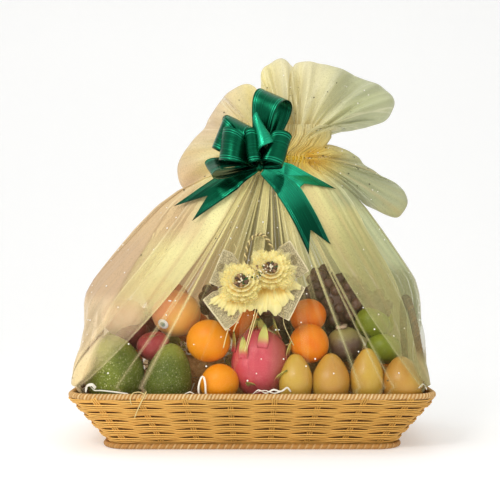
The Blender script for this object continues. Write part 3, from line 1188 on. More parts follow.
def wrap_place(places, height):
    """Points on the smooth wrap, for places round it at one height, and their outward ways."""
    left, right, depth, square = wrap_section(height)
    middle, half = (left + right) / 2, (right - left) / 2
    rise = (height - WRAP_FOOT) / (SHOULDER - WRAP_FOOT)
    shoulder_left, shoulder_right, *_ = wrap_section(SHOULDER)
    shoulder, shoulder_half = (shoulder_left + shoulder_right) / 2, (shoulder_right - shoulder_left) / 2

    def across(q):
        """How far across a column is: on a straight line from the rim to the shoulder, then up the neck."""
        if rise >= 1:
            return q * (0.35 + 0.35 * min(1.0, (rise - 1) * 9))
        x = (-0.002 + 0.277 * q) * (1 - rise) + (shoulder + 0.35 * shoulder_half * q) * rise
        swell = np.clip((abs(q) - 0.62) / 0.38, 0, 1) ** 2 * abs(np.sin(np.pi * np.clip(rise, 0, 1))) ** 0.7
        return (x + swell * np.where(q < 0, 0.033, -0.016) - middle) / half

    def depth_at(x):
        return (1 - abs(x) ** square) ** (1 / square)

    def corner(q):
        x = float(np.clip(across(q), -0.999, 0.999))
        return math.atan2(depth_at(x), x)

    places = np.mod(places, 4)
    zone = np.floor(places).astype(int)
    part = places - zone
    rel_x = np.clip(across(np.where(zone == 0, 2 * part - 1, 1 - 2 * part)), -0.999, 0.999)
    rel_y = depth_at(rel_x) * np.where(zone == 0, -1, 1)
    left_end = corner(-1.0)
    turn = np.where(zone == 1, corner(1.0) * (2 * part - 1), left_end + (2 * np.pi - 2 * left_end) * part)
    c, s = np.cos(turn), np.sin(turn)
    reach = (abs(c) ** square + abs(s) ** square) ** (-1 / square)
    ends = (zone == 1) | (zone == 3)
    rel_x = np.where(ends, c * reach, rel_x)
    rel_y = np.where(ends, s * reach, rel_y)
    points = np.stack([middle + half * rel_x, depth * rel_y, np.full_like(rel_x, height)], 1)
    away_x = np.sign(rel_x) * abs(rel_x) ** (square - 1) / half
    away_y = np.sign(rel_y) * abs(rel_y) ** (square - 1) / depth
    return points, unit(np.stack([away_x, away_y, 0 * rel_x], 1))


def make_film(pile, s, rng):
    """The net from the tray's rim up to the tie, in pleats that run straight to the neck."""
    pleats = list(WRAP_PLEATS)
    for start, end, count, least, most in ((1.40, 1.94, 8, 0.04, 0.16), (2.0, 2.98, 16, 0.03, 0.14),
                                           (3.06, 3.60, 8, 0.04, 0.16)):
        for k in range(count):
            place = start + (end - start) * (k + rng.uniform(0.2, 0.8)) / count
            pleats.append((place, rng.uniform(least, most) * rng.choice([-1, 1]), 2.0))
    for place in (0.25, 0.39, 0.50, 0.68, 0.71):
        pleats.append((place, rng.uniform(0.006, 0.012) * rng.choice([-1, 1]), 3.0))
    place, reach, layer, edge, weight, crease = folded_columns(pleats, 4.0, 0.0115)
    heights = np.concatenate([np.linspace(WRAP_FOOT, 0.30, 18)[:-1], np.linspace(0.30, 0.43, 15)[:-1],
                              np.linspace(0.43, 0.500, 18)[:-1], np.linspace(0.500, 0.548, 9)])
    starts = {p: rng.uniform(0.0, 0.10) for p in np.unique(place)}
    start = np.array([starts[p] for p in place])
    ripple = rng.uniform(0, 6.3, 6)

    def rise_at(height, most):
        return np.clip((height - WRAP_FOOT) / (SHOULDER - WRAP_FOOT), 0, most)

    def share_open(rise, start):
        return 0.012 + 0.988 * np.clip((rise - start) / (1 - start), 0, 1) ** 0.8

    rows = []
    for height in heights:
        rise = rise_at(height, 1)
        at = place + reach * share_open(rise, start)
        points, away = wrap_place(at, height)
        bulge = 0.0022 * np.sin(at * 21 + ripple[0] + 3 * rise) + 0.0012 * np.sin(at * 55 + ripple[1])
        fine = 0.0006 * np.sin(at * 190 + ripple[2]) + 0.0005 * np.sin(at * 310 + ripple[3])
        cloth = place + reach
        fine = fine + 0.0009 * np.sin(cloth * 120 + 1.5 * np.sin(cloth * 31) + ripple[4])
        out = layer * s.layer_gap * (0.35 + 0.65 * rise) + bulge * np.sin(np.pi * rise) ** 0.7
        out = out + fine * (0.3 + 1.2 * rise**2)
        rows.append(points + away * out[:, None])
    inner, _ = wrap_place(place, WRAP_FOOT)
    for drop, shrink in ((0.0045, 0.980), (0.012, 0.968)):
        rows.insert(0, inner * np.array([shrink, shrink - 0.018, 1]) - UP * drop)
    grid = np.array(rows)
    levels, columns = grid.shape[:2]
    height = grid[..., 2]
    rise = rise_at(height, 1.35)

    # How much each point hides: the front is thin with heavier pleats, the back and the ends are closed
    back = ease(grid[..., 1] / 0.10, -0.45, 0.35)
    shown = 1 - (1 - ease(rise, 0.34, 0.66)) * ease(place, 0.20, 0.24) * ease(-place, -0.79, -0.77)
    edge = edge * shown
    thin = s.front_veil * (1 + 3.0 * rise**2 + 6.0 * rise**4)
    open_foot = 1 - 0.55 * (weight > 8.5) * (1 - ease(rise, 0.10, 0.44))
    veil = thin * (1 + (weight - 1) * shown) * (1 - back) * open_foot
    ends = ease(place, 1.0, 1.03) * ease(-place, -2.0, -1.97)
    ends = ends + ease(place, 3.0, 3.03) * ease(-place, -3.997, -3.97)
    left_tip = 4.003 - 0.34 * share_open(rise, starts[0.003])
    right_tip = 0.992 + 0.34 * share_open(rise, starts[0.992])
    band = ease(place - left_tip, 0.0, 0.03) + ease(right_tip - place, 0.0, 0.03) * (place > 1)
    window = 1 - 0.64 * ease(rise, 0.11, 0.16) * ease(-rise, -0.60, -0.50)
    side = s.end_veil * np.where(place > 2, 1.30, 0.95 * window)
    veil = np.maximum(veil, side * (1 - 0.78 * band) * ends * (layer == 0) * (1 - back))
    veil = veil + 1.5 * s.back_veil * back * np.where(layer > 0, 0.3, 1)

    pale = np.where(place > 2, ease(place, 3.84, 3.90), place <= 0.0031)
    right_end = (place > 0.995) * ease(-place, -1.9, -1.7) * (layer == 0)
    left_end = ease(place, 3.1, 3.3) * (layer == 0) * (1 - pale)
    thread = np.stack([np.broadcast_to(place + reach, height.shape) * 0.46, height, 0 * height], -1)
    pile.add((grid, grid_faces(levels, columns, False, True)[:, ::-1]), veil=veil, edge=edge,
             crease=np.tile(crease, levels), cloth=thread, pale=np.tile(pale, levels),
             right_end=np.tile(right_end, levels), left_end=np.tile(left_end, levels))
    return grid, layer


def make_lobe(pile, s, lobe, tie, rng):
    """A puffed lobe of the ruffle: cloth that fans out from the tie, rolls over and comes back."""
    (middle, depth, outline), (root, lift, pleat_count) = lobe, tie
    middle = np.array(middle)
    degrees, reaches = np.array(outline, float).T
    rim_route = smooth_route(middle + circle(np.radians(degrees), RIGHT, UP) * reaches[:, None], 721, True)
    pleats = []
    for k in range(pleat_count):
        place = (k + rng.uniform(0.1, 0.9)) / pleat_count
        pleats.append((place, rng.choice([-1, 1]) * rng.uniform(0.006, 0.045), 1.0))
    place, reach, layer, edge, _, crease = folded_columns(pleats, 1.0, 0.0085, 4)
    rows, veils, edges, threads = [], [], [], []
    outward = np.linspace(0.03, 1, 19) ** 0.8
    swell = rng.uniform(0, 6, 3)
    for i, t in enumerate(np.concatenate([outward, outward[-2::-1]])):
        front = -1 if i < len(outward) else 1
        spread = 1 - t**2.2
        turn = np.mod(place + reach * spread, 1.0)
        rim = np.stack([np.interp(turn * 720, np.arange(721), line) for line in rim_route.T], 1)
        heading = np.arctan2(rim[:, 2] - middle[2], rim[:, 0] - middle[0])
        start = np.array(root) + circle(heading, RIGHT * 0.006, UP * 0.003)
        guide = start + (rim - start) * 0.4 + np.array(lift)
        flat = (1 - t) ** 2 * start + 2 * t * (1 - t) * guide + t * t * rim
        around = 2 * np.pi * turn
        wave = (0.26 * np.sin(4 * around + swell[0] + 2 * t)
                + 0.20 * np.sin(9 * around + swell[1] - 3 * t + 0.8 * np.sin(3 * around))
                + 0.10 * np.sin(19 * around + swell[2] + 2 * np.sin(2 * around + t)) * (1 - 0.6 * t))
        thick = math.sqrt(max(0.0, 1 - t**5)) * math.sin(math.pi * min(1.0, 0.12 + 0.55 * t)) ** 0.8
        y = front * depth * thick * (1 + 0.8 * wave * front) + depth * wave * t * 0.5
        y = y + front * layer * 0.5 * s.layer_gap * min(1.0, 3 * t) * spread
        rows.append(flat + np.stack([0 * y, y, 0 * y], 1))
        veils.append(s.ruffle_veil * (1 + 0.9 * math.exp(-t / 0.25)) * np.where(layer > 0, 0.3, 1))
        edges.append(edge * spread * 0.4)
        threads.append(np.stack([turn * 0.5, t * 0.1 + 0 * y, 0 * y], 1))
    pile.add(rings_shape(rows), veil=veils, edge=edges, crease=np.tile(crease, len(rows)), cloth=threads,
             pale=0.5, right_end=0.0, left_end=0.0)
    return np.array(rows)


def net_finish(s):
    """Fine net: threads and gaps, folded edges, and tones that change over the wrap."""
    f = Finish("yellow_net", Specular_IOR_Level=0.2, Sheen_Weight=0.1, Sheen_Roughness=0.4,
               Emission_Strength=0.14)
    place, cloth, edge = f.place(), f.vector("cloth"), f.value("edge")
    x, y, z = (f.axis(place, k) for k in range(3))
    wide, tall = f.axis(cloth, 0), f.axis(cloth, 1)
    turn, slant = 2 * math.pi / s.mesh_pitch, 0.577
    first = ((wide + tall * slant) * turn).wave()
    second = ((wide - tall * slant) * turn).wave()
    thread = first.most(second).rise(0.1, 0.95, 0.88, 1.12)
    streak = f.noise(f.join(wide * 60, tall * 1.6, 0.0), 1.0, 3, 0.5)
    bands = f.noise(f.join(wide * 38, tall * 0.7, 0.0), 1.0, 2, 0.55)
    crumple = f.noise(f.join(wide * 26, tall * 7, 0.0), 1.0, 2, 0.5)
    cloud = f.noise(place, 11, 3)
    high = z.rise(0.47, 0.56)
    low = 1 - high
    below_neck = z.rise(0.38, 0.43, 0.95, 0.0)
    low_left = x.rise(-0.195, -0.165, 0.6, 0.0) * z.rise(0.14, 0.17) * z.rise(0.22, 0.26, 1.0, 0.0)
    upper_right = x.rise(0.11, 0.18) * z.rise(0.39, 0.42) * z.rise(0.46, 0.50, 0.85, 0.25)
    from_neck = (((x - 0.082) / 1.3) ** 2 + (z - 0.496) ** 2 + y**2) ** 0.5 + streak * 0.03 + cloud * 0.04
    pale = f.value("pale").rise(0.5, 1.0, 0.0, 0.8) * z.rise(0.16, 0.30, 0.35, 1.0)
    right = f.mix(s.net_right, colour(182, 186, 140), high)
    outer = f.mix(colour(168, 156, 104), colour(182, 190, 146), z.rise(0.15, 0.21))
    beige = f.mix(colour(204, 184, 138), colour(184, 156, 124), z.rise(0.14, 0.24))
    base = f.coats(
        s.net_left,
        (s.net, (x + z * 0.35).rise(-0.19, 0.04)),
        (colour(230, 222, 160), pale),
        (colour(204, 178, 148), high * x.rise(-0.09, 0.03, 0.9, 0.0)),
        (colour(214, 206, 168), high * x.rise(0.0, 0.06) * 0.7),
        (right, (x - z * 0.10).rise(0.02, 0.15) * 0.9),
        (outer, f.value("right_end") * below_neck),
        (beige, f.value("left_end") * below_neck),
        (colour(152, 160, 124), upper_right),
        (colour(198, 170, 128), x.rise(-0.12, -0.06, 0.9, 0.0) * z.rise(0.32, 0.375) * low),
        (colour(255, 232, 186), low_left),
        (s.net_neck, from_neck.rise(0.03, 0.118, 0.95, 0.0)),
        (colour(194, 162, 116), bands.rise(0.48, 0.70, 0.0, 0.42) * low),
        (colour(248, 240, 190), bands.rise(0.26, 0.46, 0.34, 0.0) * low),
        (colour(246, 240, 204), (crumple - 0.5).size().rise(0.0, 0.020, 1.0, 0.0) * high * 0.35),
    )
    # The far side of the net, seen through the front, with a dark hollow under the knot
    hollow = ((x - 0.026 + (cloud - 0.5) * 0.03).size() / (0.62 - z)).rise(0.09, 0.21, 1.0, 0.0)
    hollow = hollow * z.rise(0.24, 0.36)
    behind = f.coats(
        colour(216, 188, 148),
        (colour(196, 182, 130), x.rise(-0.13, -0.03)),
        (colour(206, 206, 156), x.rise(0.035, 0.100)),
        (colour(160, 158, 110), x.rise(0.14, 0.22)),
        (colour(92, 88, 50), hollow * 0.88),
    )
    far = y.rise(-0.03, 0.05) * z.rise(0.46, 0.50, 0.9, 0.0)
    base = f.mix(base, behind, far)
    lit = {0: base, "Scale": far * (1 - hollow) * 1.6 + 1}
    glow = f.node("ShaderNodeVectorMath", {"operation": "SCALE"}, lit)
    base = f.coats(
        base,
        (colour(255, 248, 214), edge * 0.3),
        (colour(104, 88, 50), f.noise(place, 420, 2, 0.7).rise(0.48, 0.75, 0.0, 0.42)),
    )
    veil = f.value("veil") * streak.rise(0.3, 0.7, 0.90, 1.10) * thread * bands.rise(0.3, 0.65, 0.88, 1.12)
    veil = (veil + edge * s.fold_line * 0.5) * (1 - low_left * 0.75)
    return f.done(Base_Color=base, Roughness=cloud * 0.2 + 0.5, Alpha=f.within(veil), Emission_Color=glow,
                  Normal=f.bump(streak + crumple * high * 6, 0.0010, 0.15))


def make_wrap():
    """The net wrap: one cloth from the tray's rim to the free ruffle above the tie."""
    s = bpy.context.scene.hamper_wrap
    rng = np.random.default_rng(s.seed)
    pile = Pile()
    grid, layer = make_film(pile, s, rng)
    lobes = [make_lobe(pile, s, lobe, tie, rng) for lobe, tie in zip(RUFFLE_LOBES, LOBE_TIES)]
    film = pile.make("net_film", net_finish(s), "net", "net_wrap")
    make_dots(s, grid, layer, lobes, rng)


def make_dots(s, grid, layer, lobes, rng):
    """Glitter dots glued to the net: pearl white, with some dark ones on the ruffle."""
    plain = np.flatnonzero(layer == 0)
    spots = []
    for _ in range(s.dots):
        row = rng.integers(3, len(grid) - 14)
        spots.append((grid, row, rng.choice(plain), float(rng.random() < 0.8)))
    for lobe in lobes:
        for _ in range(s.dots // 9):
            row, column = rng.integers(4, 15), rng.integers(1, lobe.shape[1] - 1)
            spots.append((lobe, row, column, float(rng.random() < 0.45)))
    pile = Pile()
    turn = np.linspace(0, 2 * np.pi, 7)[:-1]
    low = np.arange(6)
    faces = (np.stack([low, (low + 1) % 6, (low + 1) % 6 + 6, low + 6], 1), np.array([low[::-1], low + 6]))
    for source, r, c, tone in spots:
        at = source[r, c]
        out = np.cross(source[r, (c + 1) % source.shape[1]] - at, source[r + 1, c] - at)
        if np.linalg.norm(out) < 1e-9:
            continue
        out = unit(out)
        out = out if out @ (at - np.array([0.0, 0.02, 0.25])) > 0 else -out
        across = unit(np.cross(out, (0.1, 0.2, 1)))
        ring = at + out * 0.0006 + rng.uniform(0.0010, 0.0016) * circle(turn, across, np.cross(across, out))
        pile.add((np.vstack([ring, ring + out * 0.0004]), *faces), tone=tone)
    f = Finish("glitter")
    base = f.mix(colour(88, 84, 60), colour(255, 250, 238), f.value("tone"))
    grain = f.noise(f.place(), 900, 1)
    pile.make("glitter_dots", f.done(Base_Color=base, Roughness=grain * 0.3 + 0.1), "net")


def satin_finish(name, tone, light, dark, rib):
    """Ribbon satin: fine cross ribs, two raised lines along each edge, and a broad soft gloss."""
    f = Finish(name, Specular_IOR_Level=0.2, Metallic=0.85)
    across, along, dim = f.value("across"), f.value("along"), f.value("dim")
    inward = across.size() - rib
    first, second, between = (
        (part.size() / width).rise(0.3, 1.0, 1.0, 0.0)
        for part, width in ((inward, 0.045), (inward + 0.13, 0.040), (inward + 0.065, 0.05)))
    ribs = first.most(second)
    streak = f.noise(f.join(along * 8, across * 14, 0.0), 1.0, 4, 0.6)
    base = f.coats(
        tone,
        (light, streak.rise(0.45, 0.80, 0.0, 0.26)),
        (dark, between * 0.55),
        (light, ribs * 0.7),
        (dark, dim * 0.75),
        (light, dim * -0.7),
    )
    raised = ribs * 1.2 + (along * 5200).wave() * 0.05 + streak * 0.20
    return f.done(Base_Color=base, Roughness=streak * 0.14 + 0.19, Normal=f.bump(raised, 0.0006, 0.5))


def ribbon(pile, grid, thickness, **values):
    """A ribbon with two faces and its edges, from a grid of points on its middle surface."""
    spread = {key: np.tile(np.broadcast_to(value, grid.shape[:2]).ravel(), 2)
              for key, value in values.items()}
    pile.add(thickened(grid, thickness), **spread)


def loop_grid(s, tip, width_axis, opening, taper, rng):
    """One loop of the bow: out from the knot, round and back, pinched at the knot."""
    knot = np.array(KNOT)
    out = np.array(tip) - knot
    length = np.linalg.norm(out)
    out /= length
    wide = unit(np.array(width_axis))
    way = unit(np.cross(out, wide))
    t = np.linspace(0, 1, 49)[:, None]
    v = np.linspace(-1, 1, 15)
    swing = np.sin(np.pi * t)
    belly = opening / 2 * np.sin(2 * np.pi * t) * (0.55 + 0.45 * swing) * 1.25
    opened = belly * (1 + taper * v) / (1 + taper) + 0.0035 * np.cos(np.pi * t)
    pleat = 0.0022 * (1 - swing) ** 2 * np.sin(v * 9 + rng.uniform(0, 6))
    pleat = pleat + 0.0007 * np.sin(v * 3.1 + rng.uniform(0, 6) + 4 * t)
    half = s.width / 2 * (0.22 + 0.78 * swing**0.7)
    grid = (knot + out * (length * swing**0.85)[..., None] + way * (opened + pleat)[..., None]
            + wide * (half * v)[..., None])
    return grid, t * length * 2, v, np.abs(1 - swing) ** 1.5


def tail_grid(s, route, notch, skew, lift_step):
    """One tail of the bow, lying down the front of the wrap, with a swallow-tail end."""
    fine = smooth_route(np.array([(x, 0.0, z) for x, z in route]), 181)[:, ::2]
    length = lengths(np.array(route))[-1]
    v = np.linspace(-1, 1, 17)
    reach = 1 - (notch * (1 - abs(v)) + np.maximum(0.0, skew * v)) / length
    share_of = np.linspace(0, 1, 41)[:, None] * reach
    here, step = (np.stack([np.interp(share_of * 180, np.arange(181), line) for line in table.T], -1)
                  for table in (fine, np.gradient(fine, axis=0)))
    step = unit(step)
    side = np.stack([-step[..., 1], step[..., 0]], -1)
    narrow = 0.30 + 0.70 * np.minimum(1.0, share_of / 0.32) ** 0.8
    flat = here - side * (v * s.tail_width / 2 * narrow)[..., None]
    lift = 0.017 + (0.0035 - 0.017) * np.minimum(1.0, share_of / 0.5) + lift_step
    rest = wrap_front(flat[..., 0], np.minimum(flat[..., 1], 0.458)) - lift
    y = KNOT.y + (rest - KNOT.y) * np.minimum(1.0, share_of / 0.35)
    y = np.minimum(np.minimum(y, rest + lift / 2), -0.032)
    y = y - 0.0030 * np.sin(np.pi * np.minimum(1, share_of / 0.8)) * (1 - v**2) * (share_of > 0.05)
    y = y + 0.0012 * np.sin(7 * share_of + 2 * v)
    y = y - 0.0050 * np.exp(-((share_of - 0.26 - 0.05 * v) / 0.045) ** 2)
    return np.stack([flat[..., 0], y, flat[..., 1]], -1), share_of * length, v, ease(share_of, 0.25, 1.0)


def make_bow():
    """The satin bow: its knot, its loops and its three tails."""
    s = bpy.context.scene.hamper_bow
    rng = np.random.default_rng(31)
    pile = Pile()
    for k, loop in enumerate(LOOPS):
        grid, along, across, dim = loop_grid(s, *loop, rng)
        if k == LIT_LOOP:
            dim = dim - 1.1 * (1 - dim) ** 2
        ribbon(pile, grid, s.thickness, along=along + rng.random(), across=across, dim=dim)
    for k, (route, notch, skew, shine, lit_from, lit_to) in enumerate(TAILS):
        grid, along, across, dim = tail_grid(s, route, notch, skew, 0.0035 * (3 - k))
        dim = dim - shine * (1 - ease(along / along.max(), lit_from, lit_to))
        ribbon(pile, grid, s.thickness, along=along + rng.random(), across=across, dim=dim)
    d, quads, caps = ball(20, 28)
    folds = 1 + 0.07 * np.cos(9 * np.arctan2(d[:, 0], d[:, 2]))
    knot = d * folds[:, None] * np.array([0.0115, 0.0100, 0.0125])
    pile.add((knot + np.array(KNOT), quads, caps), along=d[:, 2] * 0.02, across=d[:, 0] * 0.6, dim=0.4)
    towards = unit(np.array([NECK.x - KNOT.x, NECK.y - KNOT.y, 0.0]))
    path = np.array(KNOT) + towards * np.linspace(0.002, 0.034, 8)[:, None]
    shape = sweep(path, (-towards[1], towards[0], 0.0), UP, 0.0065, 0.0075, 16)
    pile.add(shape, along=np.linspace(0, 0.03, 8), across=0.3, dim=0.9)
    finish = satin_finish("green_satin", s.satin, s.satin_light, colour(0, 40, 28), s.rib)
    pile.make("satin_bow", finish, "ribbon", "ribbon_bow")

    band = Pile()
    turn = 2 * np.pi * np.arange(120) / 120
    for k, height in enumerate((-0.0040, 0.0, 0.0040)):
        out = 0.0014 + 0.0005 * np.sin(turn * 31 + k * 2)
        x = (NECK_HALF_WIDTH + out) * np.cos(turn)
        y = (NECK_HALF_DEPTH + out) * np.sin(turn)
        path = np.array(NECK) + np.stack([x, y, height + 0.0006 * np.sin(turn * 5 + k)], 1)
        shape = sweep(path, circle(turn, RIGHT, (0, 1, 0)), UP, 0.0010, 0.0024, 10, True)
        band.add(shape, along=turn * 0.04, across=np.tile(np.linspace(-1, 1, 10), 120), dim=0.0)
    tie = satin_finish("yellow_tie", s.tie, scaled(s.tie, 1.15), colour(150, 118, 30), s.rib)
    band.make("tie_band", tie, "ribbon", "neck_tie")


def corsage_frame():
    """The corsage's middle on the wrap, and the ways across it, up it and out of it."""
    out = unit(np.array([0.0, -1.0, CORSAGE_RISE]))
    middle = np.array([CORSAGE_X, wrap_front(CORSAGE_X, CORSAGE_Z), CORSAGE_Z])
    return middle, RIGHT, unit(np.cross(RIGHT, -out)), out


def over_wrap(x, z, away):
    """Points that stand away from the front of the wrap, for places across it at their heights."""
    x, z = np.asarray(x, float), np.asarray(z, float)
    return np.stack(np.broadcast_arrays(x, wrap_front(x, z) - away, z), -1)


def make_leaf(name, node, direction, length, half_width, finish):
    """A stiff net leaf with bound edges."""
    along = circle(math.radians(direction), (1, 0), (0, 1))
    across = np.array([-along[1], along[0]])
    t, v = np.linspace(0, 1, 33)[:, None], np.linspace(-1, 1, 21)
    half = half_width * np.minimum(1.0, 0.25 + 1.1 * t)
    start = BACKING_RADIUS + 0.003
    flat = along * (start + (length - start) * t)[..., None] + across * (half * v)[..., None]
    curl = 0.0022 * np.sin(5 * v + 4 * t) * t + 0.0005 * np.sin(23 * t + 3 * v)
    grid = over_wrap(CORSAGE_X + flat[..., 0], CORSAGE_Z + flat[..., 1], LEAF_OFF_WRAP + curl)
    pile = Pile()
    ribbon(pile, grid, 0.0006, along=t * length, across=half * v, dim=0.0, rim=np.maximum(abs(v), t))
    pile.make(name, finish, "net_leaf", node)


def net_leaf_finish(s):
    """Stiff open net: crossed threads with dark gaps."""
    f = Finish("stiff_net", Specular_IOR_Level=0.35)
    along, across, place = f.value("along"), f.value("across"), f.place()
    wander = f.noise(place, 170, 3) * 0.0075
    first = ((along + wander) * 1500).wave()
    second = ((across - wander) * 1500).wave()
    specks = f.noise(place, 620, 2, 0.7).rise(0.44, 0.60)
    edge = f.value("rim").rise(0.95, 0.985)
    gaps = ((first * 0.5 + second * 0.5).rise(-0.1, 0.7) * 0.28 + specks * 0.75) * (1 - edge)
    threads = f.noise(place, 300, 3, 0.6)
    base = f.coats(
        scaled(s.leaf, 0.85),
        (s.leaf, threads.rise(0.3, 0.7)),
        (colour(244, 232, 196), edge * 0.45),
        (colour(116, 92, 60), gaps * 0.5),
    )
    return f.done(Base_Color=base, Roughness=threads * 0.3 + 0.5, Alpha=0.96 - gaps * 0.42,
                  Normal=f.bump(threads - gaps * 2, 0.0008, 0.8))


def make_flower(side, hub, ways, facing, rng, finish):
    """A gathered net flower: ruffled tiers round a hollow heart, with a haze of loose threads."""
    right, up, out = ways
    pile = Pile()
    turn = np.linspace(0, 2 * np.pi, 145)[:-1]
    lean = np.cos(turn - facing)
    limit = np.where(lean > 0.05, (FLOWER_SPACING / 2 - 0.0003) / np.maximum(lean, 0.05), 1.0)
    t = np.linspace(0, 1, 11)[:, None]
    for k, (inner, outer, low, high, ruffles) in enumerate(PETAL_TIERS):
        phase = rng.uniform(0, 6.3)
        ruffle = np.sin(ruffles * turn + phase + 1.2 * np.sin(3 * turn + phase))
        fine = np.sin(ruffles * 3.1 * turn + 2 * phase)
        reach = FLOWER_RADIUS * (inner + (outer - inner) * t**0.9)
        reach = np.minimum(reach * (1 + t * (0.05 * ruffle + 0.035 * fine)), limit)
        rise = FLOWER_DEPTH * (low + (high - low) * t**1.4 + 0.10 * t * ruffle + 0.05 * t * fine)
        rings = hub + circle(turn, right, up) * reach[..., None] + out * np.maximum(rise, 0.0004)[..., None]
        pile.add(rings_shape(rings), tone=t * (0.7 + 0.3 * k / 4), around=np.tile(turn, 11))
    t, v = np.linspace(0, 1, 12)[:, None], np.linspace(-1, 1, 9)
    for _ in range(15):
        a, size = rng.uniform(0, 6.3), rng.uniform(0.7, 1.15)
        if math.cos(a - facing) > 0.35:
            continue
        reach = FLOWER_RADIUS * (0.62 + (0.60 * size - 0.12 * v**2) * t + 0.05 * np.sin(9 * v + 5 * t + a))
        rise = FLOWER_DEPTH * (0.45 + 0.25 * np.sin(5 * v + a * 3) * t + 0.30 * t - 0.35 * t**2)
        flat = circle(a + v * 0.46 * size * (1 - 0.5 * t), right, up)
        grid = hub + flat * reach[..., None] + out * np.maximum(rise, 0.001)[..., None]
        pile.add((grid, grid_faces(12, 9)), tone=np.linspace(0.9, 1.4, 12), around=a)
    thin = (0.00016, 0.00014, 0.00006)
    for _ in range(900):
        a, k = rng.uniform(0, 6.3), rng.uniform(0.45, 1.08)
        if math.cos(a - facing) > 0.55 and k > 0.7:
            continue
        flat = circle(a, right, up)
        at = hub + flat * FLOWER_RADIUS * k + out * FLOWER_DEPTH * rng.uniform(0.35, 0.95) * (1.1 - 0.5 * k)
        way = flat * 0.6 + out * rng.uniform(0.2, 1.0) + rng.normal(size=3) * 0.35
        end = at + way * rng.uniform(0.003, 0.0065)
        path = np.array([at, (at + end) / 2 + rng.normal(size=3) * 0.0006, end])
        pile.add(sweep(path, *frames(path, (0.3, 0.1, 1)), thin, thin, 3), tone=1.0, around=a)
    pile.make(f"flower_{side}", finish, "net_flower", f"net_flower_{side}")


def petal_finish(s):
    """Petal net: pale at its rim and orange yellow at its root, with fine gathered lines."""
    f = Finish("petal_net", Sheen_Weight=0.5, Subsurface_Weight=0.1,
               Subsurface_Radius=(0.004, 0.003, 0.001))
    tone, around = f.value("tone"), f.value("around")
    lines = f.noise(f.join(around * 22, tone * 1.5), 1.0, 3, 0.6)
    cloud = f.noise(f.place(), 60, 3)
    base = f.coats(
        s.petal_deep,
        (s.petal, (tone * 0.9 + cloud * 0.9 - 0.46).rise(0.0, 0.70)),
        (colour(252, 246, 200), lines.rise(0.5, 0.8, 0.0, 0.45)),
    )
    hide = tone.rise(0.5, 1.4, 0.95, 0.34) + lines * 0.24 - 0.12
    return f.done(Base_Color=base, Roughness=cloud * 0.2 + 0.6, Alpha=f.within(hide),
                  Normal=f.bump(lines, 0.0012, 0.7))


def make_heart(side, hub, ways, rng, finish):
    """A flower's heart: curled woody seed cases, a few pale buds and small green leaves."""
    right, up, out = ways
    pile = Pile()
    for k in range(9):
        flat = circle(2 * math.pi * k / 9 + rng.uniform(-0.3, 0.3), right, up)
        start = hub + flat * 0.002 + out * 0.0005
        reach = rng.uniform(0.006, 0.0095)
        route = [start + flat * reach * part + out * rise
                 for part, rise in ((0, 0), (0.5, 0.004), (1, 0.0052), (1.08, 0.0025), (0.82, 0.0012))]
        path = smooth_route(route, 16)
        across, lift = frames(path, np.cross(flat, out))
        wide = np.interp(np.linspace(0, 1, 16), (0, 0.4, 0.8, 1), (0.0006, 0.0020, 0.0024, 0.0010))
        pile.add(sweep(path, across, lift, wide * 0.55, wide, 8), tone=rng.random(), kind=0.0)
    for _ in range(6):
        flat = circle(rng.uniform(0, 6.3), right, up)
        d, quads, caps = ball(7, 10)
        at = hub + flat * rng.uniform(0.001, 0.006) + out * rng.uniform(0.003, 0.006)
        bud = d * np.array([0.0015, 0.0015, 0.0021]) @ turned(flat + out).T
        pile.add((bud + at, quads, caps), tone=rng.random(), kind=0.5)
    t, v = np.linspace(0, 1, 9)[:, None], np.linspace(-1, 1, 5)
    half = 0.0030 * np.sin(np.pi * (0.08 + 0.9 * t)) ** 0.8
    for k in range(3):
        flat = circle(-0.6 + k * 0.9 + rng.uniform(-0.2, 0.2), right, up)
        grid = (hub + flat * (0.002 + 0.009 * t)[..., None] + np.cross(out, flat) * (half * v)[..., None]
                + out * (0.003 + 0.003 * t - 0.4 * half * v**2)[..., None])
        pile.add(thickened(grid, 0.0004), tone=rng.random(), kind=1.0)
    pile.make(f"heart_{side}", finish, "seed", f"flower_centre_{side}")


def heart_finish(s):
    """Woody seed cases, pale buds and green leaves, told apart by their kind."""
    f = Finish("seed_heads", Specular_IOR_Level=0.35)
    kind, tone, place = f.value("kind"), f.value("tone"), f.place()
    grain = f.noise(place, 700, 3, 0.6)
    base = f.coats(
        scaled(s.seed_head, 0.35),
        (colour(172, 134, 92), (grain * 0.8 + tone * 0.5).rise(0.35, 1.0)),
        (colour(238, 226, 196), kind.rise(0.3, 0.45)),
        (s.green, kind.rise(0.75, 0.9)),
    )
    return f.done(Base_Color=base, Roughness=grain * 0.3 + 0.4, Normal=f.bump(grain, 0.0003, 0.7))


def straw_finish(s):
    """Straw and raffia, with fine fibres."""
    f = Finish("straw", Specular_IOR_Level=0.4)
    fibre = f.noise(f.place(), 500, 3, 0.6)
    base = f.mix(scaled(s.straw, 0.28), s.straw, (fibre + f.value("tone") * 0.6).rise(0.45, 0.95))
    return f.done(Base_Color=base, Roughness=fibre * 0.3 + 0.35, Normal=f.bump(fibre, 0.0003))


